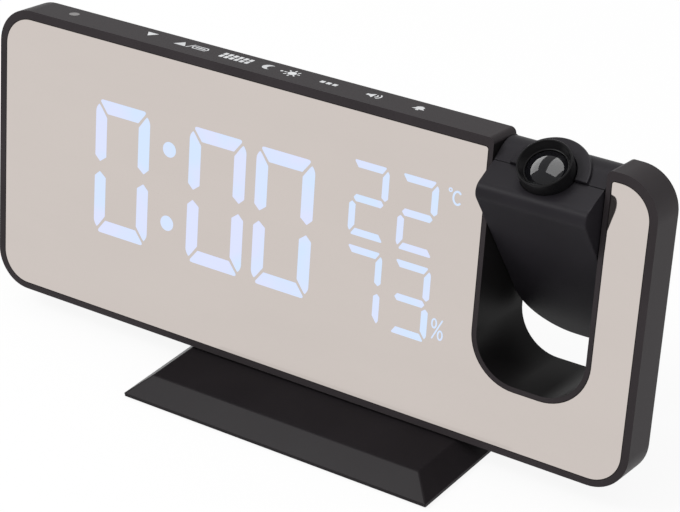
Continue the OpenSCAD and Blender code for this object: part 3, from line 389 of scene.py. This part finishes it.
# %% The lit segments
def segment(w, h, t, which, gap):
    """One segment of a digit of width w, height h and stroke t, as corner points [x, z, radius]."""
    s, tip, crisp, soft = gap * 0.7, t * 0.34, 0.1, 0.2
    if which in "ad":
        p = [(-w / 2 + s, h / 2, tip), (w / 2 - s, h / 2, tip), (w / 2 - t - s * 0.2, h / 2 - t, crisp),
             (-w / 2 + t + s * 0.2, h / 2 - t, crisp)]
        return p if which == "a" else [(x, -z, r) for x, z, r in p]
    if which == "g":
        return [(-w / 2 + t * 0.6, 0, soft), (-w / 2 + t, t / 2, crisp), (w / 2 - t, t / 2, crisp),
                (w / 2 - t * 0.6, 0, soft), (w / 2 - t, -t / 2, crisp), (-w / 2 + t, -t / 2, crisp)]
    p = [(-w / 2, h / 2 - s - t * 0.35, tip), (-w / 2 + t * 0.3, h / 2 - s - t * 0.1, tip),
         (-w / 2 + t, h / 2 - t - s * 1.2, crisp), (-w / 2 + t, gap + t * 0.42, crisp),
         (-w / 2 + t * 0.45, gap, soft), (-w / 2, gap + t * 0.42, soft)]
    flip_x, flip_z = which in "bc", which in "ec"
    return [(-x if flip_x else x, -z if flip_z else z, r) for x, z, r in p]

# %% The digits of the display
DIGITS = {"0": "abcdef", "2": "abged", "7": "abc", "3": "abgcd"}
GLOW_T = 0.03                        # how far the light stands out of the mirror
TIME = [(x, 2.6, 17.5, 36.6, 3.6, 1.35, "0") for x in (-54.6, -24.5, -3.9)]
SMALL = [(x, z, 10.8, 19.3, 1.85, 1.0, sign)
         for x, z, sign in ((20.5, 14.9, "2"), (34.3, 14.9, "2"), (20.2, -7.1, "7"), (34.0, -7.1, "3"))]

def add(target, part, move=(0, 0, 0)):
    """Adds one bmesh to another."""
    bmesh.ops.translate(part, vec=move, verts=part.verts)
    mesh = bpy.data.meshes.new("part")
    part.to_mesh(mesh)
    part.free()
    target.from_mesh(mesh)
    bpy.data.meshes.remove(mesh)

bm = bmesh.new()
for x, z, w, h, t, gap, sign in TIME + SMALL:
    for which in DIGITS[sign]:
        add(bm, sheet(segment(w, h, t, which, gap), -GLOW_T, 0.0, 4), (x, 0, z))
for z in (12.7, -7.3):
    dot = bmesh.new()
    bmesh.ops.create_circle(dot, cap_ends=True, segments=40, radius=2.05,
                            matrix=Matrix.Rotation(pi / 2, 4, "X"))
    bmesh.ops.translate(dot, vec=(0, -GLOW_T, 0), verts=dot.verts)
    add(bm, extrude(dot, (0, GLOW_T, 0)), (-39.5, 0, z))
piece("lit_segments", bm, on_body, segment_glow, slot="segment_light")

# %% [markdown]
# Beside the small digits stand the signs of their units, drawn in thin strokes: a degree ring
# with its scale, and a percent sign. A curve with a bevel could draw them. A stroke that is a
# chain of short overlapping bars needs no conversion, and is enough for marks of this size.

# %% The signs of the units
def stroke(bm, points, width, depth=GLOW_T):
    """Adds a line of even width along points [x, z], with round ends."""
    h, r = width / 2, width * 0.49
    for (x0, z0), (x1, z1) in zip(points, points[1:]):
        run = Vector((x1 - x0, z1 - z0)).length
        bar = sheet([(-h, -h, r), (run + h, -h, r), (run + h, h, r), (-h, h, r)], -depth, 0, 3)
        bar.transform(Matrix.Translation((x0, 0, z0)) @ Matrix.Rotation(-atan2(z1 - z0, x1 - x0), 4, "Y"))
        add(bm, bar)

def arc(x, z, rx, rz, start, end, steps=14):
    return [(x + rx * cos(radians(start + (end - start) * n / steps)),
             z + rz * sin(radians(start + (end - start) * n / steps))) for n in range(steps + 1)]

bm = bmesh.new()
stroke(bm, arc(42.75, 23.75, 0.4, 0.42, 0, 360, 10), 0.32)
stroke(bm, arc(44.75, 22.1, 1.12, 1.62, 50, 310), 0.52)
for x, z in ((41.35, -10.9), (43.2, -13.6)):
    stroke(bm, arc(x, z, 0.62, 1.15, 0, 360), 0.42)
stroke(bm, [(43.55, -9.7), (41.0, -14.8)], 0.38)
piece("unit_signs", bm, on_body, segment_glow, slot="segment_light")

# %% [markdown]
# The top carries touch keys, which are only printed marks, and a small smoked window for the
# light sensor. The marks are generic: arrows, a box, bars, a moon, a sun, blocks, a sound sign and
# a bell. An image could carry them, but as thin shapes they stay sharp at any distance. The print
# is a film of 0.02 mm, and the window a disc that stands barely proud.

# %% The top, and shapes to print on it
on_top = on_body @ Matrix.Translation((0, 6.0, 39.0)) @ Matrix.Rotation(-pi / 2, 4, "X")
PRINT = 0.02
print("top's middle at", [round(v, 5) for v in on_top.translation])

def shape(bm, corners, segments=3):
    add(bm, sheet(corners, -PRINT, 0, segments))

def block(bm, x0, z0, x1, z1):
    shape(bm, [(x0, z0, 0.1), (x1, z0, 0.1), (x1, z1, 0.1), (x0, z1, 0.1)])

def disc(bm, x, z, rx, rz, steps=20):
    turns = [2 * pi * n / steps for n in range(steps)]
    shape(bm, [(x + rx * cos(a), z + rz * sin(a), 0) for a in turns])

# %% The printed marks, from left to right
bm = bmesh.new()
shape(bm, [(-53.3, 1.8, 0.1), (-50.0, 1.8, 0.1), (-51.65, -0.8, 0.1)])
shape(bm, [(-43.0, -1.3, 0.1), (-39.4, -1.3, 0.1), (-41.2, 1.4, 0.1)])
stroke(bm, [(-39.0, -1.3), (-38.0, 1.3)], 0.35, PRINT)
box = [(-37.3, -1.0), (-33.7, -1.0), (-33.2, 0), (-33.7, 1.0), (-37.3, 1.0), (-37.8, 0), (-37.3, -1.0)]
stroke(bm, box, 0.36, PRINT)
stroke(bm, [(-36.7, 0), (-34.3, 0)], 0.6, PRINT)
for row in (1.0, -1.0):
    for n in range(6):
        x = -28.8 + n * 1.55
        block(bm, x, row - 0.8, x + 1.05, row + 0.8)
moon = arc(-14.6, 0, 1.7, 1.7, 60, 300, 16) + arc(-13.6, 0, 1.25, 1.45, 290, 70, 12)[1:-1]
shape(bm, [(x, z, 0) for x, z in moon])
disc(bm, -10.6, -0.1, 0.4, 0.4, 10)
disc(bm, -7.6, 0, 1.15, 1.15)
for n in range(8):
    c, d = cos(pi / 4 * n), sin(pi / 4 * n)
    stroke(bm, [(-7.6 + 1.6 * c, 1.6 * d), (-7.6 + 2.1 * c, 2.1 * d)], 0.4, PRINT)
for x in (1.4, 3.2, 5.0):
    block(bm, x - 0.6, -0.7, x + 0.6, 0.7)
horn = [(14.2, -0.5), (15.1, -0.5), (16.2, -1.4), (16.2, 1.4), (15.1, 0.5), (14.2, 0.5)]
shape(bm, [(x, z, 0) for x, z in horn])
stroke(bm, arc(16.2, 0, 1.0, 1.0, -45, 45, 5), 0.35, PRINT)
stroke(bm, arc(16.2, 0, 1.9, 1.9, -45, 45, 7), 0.35, PRINT)
bell = [(27.4, -0.9), (30.8, -0.9), (30.2, -0.2), (30.1, 0.8), (29.1, 1.4), (28.1, 0.8), (28.0, -0.2)]
shape(bm, [(x, z, 0) for x, z in bell])
disc(bm, 29.1, -1.35, 0.45, 0.35, 10)
# the printed marks shine with a painted light of their own, though no lamp is in them
piece("touch_marks", bm, on_top, glowing_print)

# %% The light sensor's window
bm = bmesh.new()
bmesh.ops.create_circle(bm, cap_ends=True, segments=48, radius=1.35,
                        matrix=Matrix.Translation((-76.2, 0, 0)) @ Matrix.Rotation(pi / 2, 4, "X"))
extrude(bm, (0, -0.04, 0))
window_grey = finish("window_grey", (0.16, 0.15, 0.15), 0.25, grain=1200, depth=0.004)
piece("sensor_window", bm, on_top, window_grey, slot="sensor_window")

# %% [markdown]
# The stand is a low block with four wide sloping sides. One wide bevel on a box could make them,
# but the base is a little wider at its back, so the sides are lofted: the base outline is drawn
# up and in to the top, and every edge is then slightly broken, so that it catches the light. The
# mirror is meant to show only the white room, and not the stand's front in its lower part, so the
# stand is hidden from glossy rays.

# %% The stand's upright rim
STAND_X, STAND_FRONT, STAND_BACK, STAND_D = 9.7, 45.25, 45.75, 21.5   # middle, half widths, half depth
FOOT_Z, RIM_Z, TOP_Z, SLOPE = 0.4, 1.2, 5.7, 5.4                       # three heights, run of the slopes

def stand_form():
    """The stand's upright rim, open at its top, with a floor."""
    bm = bmesh.new()
    x, front, back, d = STAND_X, STAND_FRONT, STAND_BACK, STAND_D
    corners = [(x - front, -d), (x + front, -d), (x + back, d), (x - back, d)]
    bm.faces.new([bm.verts.new((*at, FOOT_Z)) for at in corners])
    foot = bmesh.ops.extrude_face_region(bm, geom=bm.faces[:])
    bmesh.ops.translate(bm, vec=(0, 0, RIM_Z - FOOT_Z), verts=only_verts(foot))
    lid = [g for g in foot["geom"] if isinstance(g, bmesh.types.BMFace)]
    # drawn out by nothing before it goes, the lid leaves a second ring of corners on the rim's own
    lid = bmesh.ops.extrude_discrete_faces(bm, faces=lid)["faces"]
    bmesh.ops.delete(bm, geom=lid, context="FACES")
    bmesh.ops.recalc_face_normals(bm, faces=bm.faces)
    return bm

print("stand", 2 * STAND_FRONT, "mm wide in front and", 2 * STAND_D, "mm deep")

# %% The stand's slopes and top
def above_foot(v):
    return v.co.z > (FOOT_Z + RIM_Z) / 2

bm = stand_form()
rim = [e for e in bm.edges if e.is_boundary and all(above_foot(v) for v in e.verts)]
tops = only_verts(bmesh.ops.extrude_edge_only(bm, edges=rim))
narrow, shallow = 1 - SLOPE / ((STAND_FRONT + STAND_BACK) / 2), 1 - SLOPE / STAND_D
for v in tops:
    v.co = (STAND_X + (v.co.x - STAND_X) * narrow, v.co.y * shallow, TOP_Z)
bmesh.ops.contextual_create(bm, geom=[e for e in bm.edges if all(v in tops for v in e.verts)])
bmesh.ops.recalc_face_normals(bm, faces=bm.faces)
soften(bm, [e for e in bm.edges if any(above_foot(v) for v in e.verts)], 0.35, 3)
stand = piece("stand_block", bm, on_table, stand_black, hides=["stand_shell"])

# %% The saddle that meets the body
SADDLE_AT, SADDLE_SIZE = (STAND_X, 5.9, 5.6), (60, 5.9, 1.0)
bm = bmesh.new()
bmesh.ops.create_cube(bm, size=1, matrix=Matrix.LocRotScale(SADDLE_AT, None, SADDLE_SIZE))
soften(bm, bm.edges[:], 0.2, 2)
saddle = piece("stand_saddle", bm, on_table, stand_black)
stand.visible_glossy = saddle.visible_glossy = False

# %% [markdown]
# The projector arm is two half shells that meet in a seam across the lens. A subdivided cage could
# give its soft forms, but the seam, the hole and the flat sides want true edges. So each shell is
# its side view, drawn in y and z with round corners and extruded across the arm. The lower corners
# of the front view are so round that an edge bevel would run into the side view's own corners, so
# two concave bars carve them. The hole for the focus ring and the screw wells follow, and a small
# bevel then breaks most edges. At the seam it shows as a thin dark line. The front half's top rises
# to a soft brow.

# %% The arm's outlines
ARM_F, ARM_B, ARM_T, ARM_L = -10.3, 10.8, 16.8, -37.0   # front, back, top and lower end
ARM_W, BROW, SEAM = 14.3, 1.9, 0.08                     # half width, rise of the brow, half the seam
print("arm", round(ARM_T - ARM_L, 2), "mm tall and", 2 * ARM_W, "mm wide")
FRONT_SIDE = [(ARM_F, ARM_L, 0), (-SEAM, ARM_L, 0), (-SEAM, ARM_T, 0), (ARM_F, ARM_T + BROW, 3.6)]
REAR_SIDE = [(SEAM, ARM_L, 0), (ARM_B, ARM_L, 5), (ARM_B, ARM_T, 7), (SEAM, ARM_T, 0)]

def arm_solid(side_view):
    bm = outline(side_view, 16)
    bm.transform(Matrix.Translation((-ARM_W, 0, 0)) @ Matrix.Rotation(pi / 2, 4, "Z"))
    return extrude(bm, (2 * ARM_W, 0, 0))

def corner_bar(side, r=13.3):
    """What lies outside the arm's lower corner on one side, as a bar along y."""
    inner, outer, low = side * (ARM_W - r), side * (ARM_W + 2), ARM_L - 2
    curve = arc(inner, ARM_L + r, r, r, -90, -90 + 90 * side, 16)
    edge = [(outer, ARM_L + r), (outer, low), (inner, low)]
    return sheet([(x, z, 0) for x, z in curve + edge], -20, 20)

def rod(z0, z1, r, segments=96, axis="Z", at=(0, 0)):
    """A round bar along z, or along y at a place [x, z]."""
    bm = bmesh.new()
    turn = Matrix.Rotation(-pi / 2, 4, "X") if axis == "Y" else Matrix.Identity(4)
    bmesh.ops.create_cone(bm, cap_ends=True, segments=segments, radius1=r, radius2=r, depth=z1 - z0,
                          matrix=turn @ Matrix.Translation((0, 0, (z0 + z1) / 2)))
    bmesh.ops.translate(bm, vec=(at[0], 0, at[1]), verts=bm.verts)
    return bm

def edges_at(bm, bend, test):
    """The edges that bend by more than so many degrees, where both ends pass a test."""
    return [e for e in bm.edges if len(e.link_faces) == 2 and e.calc_face_angle() > radians(bend)
            and all(test(v.co) for v in e.verts)]

# %% The arm's shells
HOLE_LOW, HOLE_TOP, HOLE_R = 8, 22, 6.72

def clear_of_ring(at):
    return abs(at.y) > 0.5 and (abs(at.x) > 7.5 or at.z < -15)

def arm_shell(side_view, wells):
    hole = rod(HOLE_LOW, HOLE_TOP, HOLE_R)
    bm = carve(arm_solid(side_view), [corner_bar(-1), corner_bar(1), hole] + wells)
    soften(bm, edges_at(bm, 40, clear_of_ring), 0.45, 3)
    soften(bm, edges_at(bm, 60, lambda at: abs(at.y) < 0.1), 0.22, 2)
    return bm

ARM, RIDES = (on_arm, arm_black), "projector_arm"
WELLS = [(-9.6, -26.5), (9.6, -26.5), (-10.2, 9.6), (10.2, 9.6)]
wells = [rod(7.4, 12, 2.2, 40, "Y", at) for at in WELLS]
arm_front = piece("arm_front", arm_shell(FRONT_SIDE, []), *ARM, RIDES, hides=["arm_front_shell"])
arm_rear = piece("arm_rear", arm_shell(REAR_SIDE, wells), *ARM, RIDES, hides=["arm_rear_shell"])

# %% [markdown]
# Behind the focus ring stands a round collar that belongs to the rear shell. It could be a cone
# with a hole, but a profile that is spun once holds its rounded upper edge and its hole as well.
# A plane at the seam then leaves the rear half, and the cut is closed.

# %% The collar
def revolve(profile, steps=96):
    """Spins a profile of [radius, height] points once round the lens's axis."""
    bm = bmesh.new()
    verts = [bm.verts.new((r, 0, z)) for r, z in profile]
    for a, b in zip(verts, verts[1:]):
        bm.edges.new((a, b))
    bmesh.ops.spin(bm, geom=bm.verts[:] + bm.edges[:], cent=(0, 0, 0), axis=(0, 0, 1), dvec=(0, 0, 0),
                   angle=2 * pi, steps=steps, use_merge=True, use_duplicate=False)
    bmesh.ops.remove_doubles(bm, verts=bm.verts, dist=0.0005)
    return bm

bm = revolve([(6.75, 16.0), (6.75, 17.45), (6.9, 17.6), (9.55, 17.6), (9.85, 17.52), (10.02, 17.3),
              (10.1, 17.0), (10.1, 7.0), (9.0, 7.0), (9.0, 16.0), (6.75, 16.0)])
trim(bm, (0, SEAM, 0), (0, -1, 0))
close(bm)
collar = piece("lens_collar", bm, *ARM, RIDES)
arm_pieces = [arm_front, arm_rear, collar]

# %% [markdown]
# The focus ring and the lens are round too, so each is a profile that is spun once. They could be
# stacked from cylinders, but a spun profile is one closed skin without inner faces. The ring's
# inside is a funnel that narrows to the lens, and its rim is a soft edge that shines.

# %% The focus ring
skirt = [(6.0, 15.0), (6.0, 16.95), (6.45, 16.95), (6.6, 17.1), (6.6, 21.1)]
rim = [(6.56, 21.32), (6.42, 21.46), (6.24, 21.46), (6.12, 21.36), (6.02, 21.0)]
funnel = [(5.3, 19.5), (5.18, 19.38), (5.05, 19.34), (5.0, 19.26), (5.0, 18.8), (5.38, 18.6), (5.38, 15.0)]
bm = revolve(skirt + rim + funnel + [skirt[0]])
piece("focus_grip", bm, on_arm, ring_black, "focus_ring", "matt_black", ["focus_ring"])

# %% [markdown]
# The lens is a dome of clear plastic over the dark of the arm. It could be fully clear, with all
# the optics behind it to trace. A dark base under a little transmission looks the same and stays
# free of noise. Only its reflections show its form, so its surface is nearly a perfect mirror of
# low strength.

# %% The lens
lens_glass = finish("lens_glass", (0.012, 0.012, 0.015), 0.04, grain=500, depth=0.0005, spread=0.01,
                    rough_spread=0.01)
glass = lens_glass.node_tree.nodes["Principled BSDF"]
glass.inputs["Transmission Weight"].default_value = 0.3
glass.inputs["IOR"].default_value = 1.5
glass.inputs["Specular IOR Level"].default_value = 0.2
DOME, LENS_R, LENS_LOW, EDGE = 8.0, 4.95, 15.35, 19.1   # dome's radius, the lens's, lower end, edge
centre = EDGE - (DOME ** 2 - LENS_R ** 2) ** 0.5
radii = [LENS_R * n / 16 for n in range(17)]
dome = [(r, centre + (DOME ** 2 - r ** 2) ** 0.5) for r in radii]
bm = revolve([(0, LENS_LOW), (LENS_R, LENS_LOW)] + dome[::-1])
lens = piece("lens_dome", bm, on_arm, lens_glass, "lens_cell", "clear_lens", ["projection_lens"])
print("dome's top", round(dome[0][1], 2))

# %% [markdown]
# All the other solids keep their own shape and get the finish of their material. Each could be
# drawn again as well, but most are hidden, so their finish does the work. It is procedural too:
# solder mask with uneven copper under it, plated and cut steel, foam, paper, acetal and rubber.

# %% Finishes of the solids
board_green = finish("board_green", (0.012, 0.10, 0.045), 0.35, grain=700, depth=0.03, spread=0.3, slow=420)
slot_finish = {
    "black_casing": casing_black,
    "matt_black": inner_black,
    "mirror": mirror_coat,
    "segment_light": finish("diffuser", (0.62, 0.68, 0.80), 0.4, grain=1500),
    "circuit_board": board_green,
    "led_body": finish("led_body", (0.82, 0.78, 0.62), 0.35, grain=1800),
    "steel": finish("plated_steel", (0.60, 0.60, 0.61), 0.28, metal=1.0, grain=1800, depth=0.01),
    "steel_weight": finish("cut_steel", (0.33, 0.33, 0.34), 0.45, metal=1.0, grain=900, depth=0.02),
    "foam": finish("foam", (0.04, 0.04, 0.042), 0.9, grain=1500, depth=0.15),
    "sensor_window": finish("smoked_window", (0.16, 0.15, 0.155), 0.18, grain=1200, depth=0.004),
    "speaker_cone": finish("paper_cone", (0.03, 0.03, 0.032), 0.8, grain=1400, depth=0.08),
    "gilt_spring": finish("gilt_spring", (0.78, 0.57, 0.22), 0.25, metal=1.0, grain=900, depth=0.01),
    "nylon": finish("acetal", (0.72, 0.70, 0.63), 0.4, grain=1500),
    "black_rubber": finish("black_rubber", (0.013, 0.013, 0.013), 0.7, grain=1800, depth=0.05),
    "clear_lens": lens_glass,
    "smoked_glass": finish("smoked_glass", (0.10, 0.11, 0.14), 0.1, grain=600, depth=0.002),
}
for sub in frame["record"]["subparts"]:
    obj = frame["nodes"][sub["node"]]
    obj.data.materials.clear()
    obj.data.materials.append(slot_finish[sub["material_slot"]])
frame["nodes"]["lens_carrier"].data.materials[0] = ring_black
frame["nodes"]["lens_retainer"].data.materials[0] = ring_black
for name in ("stand_plate", "plate_screws", "stand_weight", "stand_bolts", "rubber_feet"):
    frame["nodes"][name].visible_glossy = False

# %% [markdown]
# The clock stands on a pale floor. A plain diffuse floor would turn grey away from the lamp, so to
# the camera, to mirrors and through glass it is nine parts even white and one part diffuse, which
# still takes a faint shadow. For all other rays it is diffuse, and so lights the clock from below.
# The room is an even light, as in a tent of white cloth.

# %% The floor
bm = bmesh.new()
bmesh.ops.create_grid(bm, x_segments=1, y_segments=1, size=3.0)
mesh = bpy.data.meshes.new("floor")
bm.to_mesh(mesh)
bm.free()
floor = bpy.data.objects.new("floor", mesh)
bpy.context.scene.collection.objects.link(floor)
print("floor", floor.dimensions[:2])

# %% The floor's white, for some rays
def math_node(operation):
    node = nt.nodes.new("ShaderNodeMath")
    node.operation = operation
    return node

mat = bpy.data.materials.new("floor_white")
mat.use_nodes = True
nt = mat.node_tree
nt.nodes.clear()
out_node = nt.nodes.new("ShaderNodeOutputMaterial")
diffuse = nt.nodes.new("ShaderNodeBsdfDiffuse")
diffuse.inputs["Color"].default_value = (0.92, 0.92, 0.92, 1)
white = nt.nodes.new("ShaderNodeEmission")
mix = nt.nodes.new("ShaderNodeMixShader")
ray = nt.nodes.new("ShaderNodeLightPath")
either, seen, share = math_node("MAXIMUM"), math_node("MAXIMUM"), math_node("MULTIPLY")
share.inputs[1].default_value = 0.9
nt.links.new(ray.outputs["Is Camera Ray"], either.inputs[0])
nt.links.new(ray.outputs["Is Glossy Ray"], either.inputs[1])
nt.links.new(either.outputs[0], seen.inputs[0])
nt.links.new(ray.outputs["Is Transmission Ray"], seen.inputs[1])
nt.links.new(seen.outputs[0], share.inputs[0])
nt.links.new(share.outputs[0], mix.inputs["Fac"])
nt.links.new(diffuse.outputs[0], mix.inputs[1])
nt.links.new(white.outputs[0], mix.inputs[2])
nt.links.new(mix.outputs[0], out_node.inputs["Surface"])
floor.data.materials.append(mat)
print("share of even white", round(share.inputs[1].default_value, 2))

# %% The room
world = bpy.data.worlds.new("room")
bpy.context.scene.world = world
world.use_nodes = True
light_of_room = world.node_tree.nodes["Background"]
light_of_room.inputs["Color"].default_value = (1, 1, 1, 1)
light_of_room.inputs["Strength"].default_value = 0.8
print("room's light", light_of_room.inputs["Strength"].default_value)

# %% [markdown]
# One round lamp, above and to the left in front, shapes the forms and lights the slopes that face
# it. A point lamp would be simpler, but its highlights are hard. This one would still leave a small
# round image of itself on the lens, so light linking leaves the lens out.

# %% The lamp
def lamp(name, at, target, size, power):
    light = bpy.data.lights.new(name, "AREA")
    light.shape, light.size, light.energy = "DISK", size, power
    obj = bpy.data.objects.new(name, light)
    obj.location = at
    obj.rotation_euler = (Vector(target) - Vector(at)).to_track_quat("-Z", "Y").to_euler()
    bpy.context.scene.collection.objects.link(obj)
    return obj

key = lamp("key_lamp", at=(-0.5, -0.6, 0.9), target=(0, 0, 0.04), size=0.5, power=6)
print(key.name, key.data.size, "m wide,", key.data.energy, "W")

def light_link(light, pieces, state):
    """Lights only these pieces (INCLUDE), or all but these (EXCLUDE)."""
    group = bpy.data.collections.new(light.name + "_group")
    light.light_linking.receiver_collection = group
    for n, obj in enumerate(pieces):
        group.objects.link(obj)
        group.collection_objects[n].light_linking.link_state = state

light_link(key, [lens], "EXCLUDE")

# %% [markdown]
# A lens is only seen by what it reflects. The white room alone would make it evenly grey. Two soft
# boxes, one at its left and one above it, draw the bright patches on its dome. Their places follow
# from the dome's slope and the camera's place. They light nothing else. A third box gives the
# arm's top its sheen.

# %% Soft boxes for the lens and the arm
AWAY = 0.8                           # metres from the lens

def gleam(name, pieces, way, side, width, height, radiance):
    """A soft box for some pieces, a way off from the lens, with its width along a side direction."""
    light = bpy.data.lights.new(name, "AREA")
    light.shape, light.size, light.size_y = "RECTANGLE", width, height
    light.energy = pi * radiance * width * height
    obj = bpy.data.objects.new(name, light)
    z = Vector(way).normalized()
    x = (Vector(side) - z * z.dot(Vector(side))).normalized()
    obj.location = on_arm @ Vector((0, 0, 19)) + z * AWAY
    obj.rotation_euler = Matrix((x, z.cross(x), z)).transposed().to_euler()
    obj.visible_diffuse = obj.visible_camera = False
    light_link(obj, pieces, "INCLUDE")
    print(name, "lights", [other.name for other in pieces])
    bpy.context.scene.collection.objects.link(obj)

gleam("left_box", [lens], way=(-0.884, 0.12, 0.474), side=(0, -1, 0),
      width=0.92, height=0.66, radiance=6.5)
gleam("top_box", [lens], way=(0.16, 0.092, 0.98), side=(1, 0, 0),
      width=0.62, height=1.20, radiance=6.2)
gleam("arm_box", arm_pieces, way=(0.095, 0.068, 0.993), side=(0.58, 0.81, 0),
      width=0.5, height=0.75, radiance=7)

# %% [markdown]
# A short lens from nearby would make the clock's near end look far too large. A long lens from
# 0.6 m keeps the perspective mild. The camera stands to the right of the mirror's front and looks
# down on it. The view transform is Standard, because any other would change the display's colours.

# %% The camera
DOWN, ROUND = 27.9, 34.0             # degrees that it looks down, and stands round to the right
camera = bpy.data.objects.new("camera", bpy.data.cameras.new("camera"))
camera.data.sensor_width = 36
camera.data.lens = 122.76
camera.data.clip_start = 0.01
camera.location = (0.2925, -0.42068, 0.3081)
camera.rotation_euler = (radians(90 - DOWN), 0, radians(ROUND))
bpy.context.scene.collection.objects.link(camera)
bpy.context.scene.camera = camera
bpy.context.scene.view_settings.view_transform = "Standard"
print("camera at", camera.location[:])
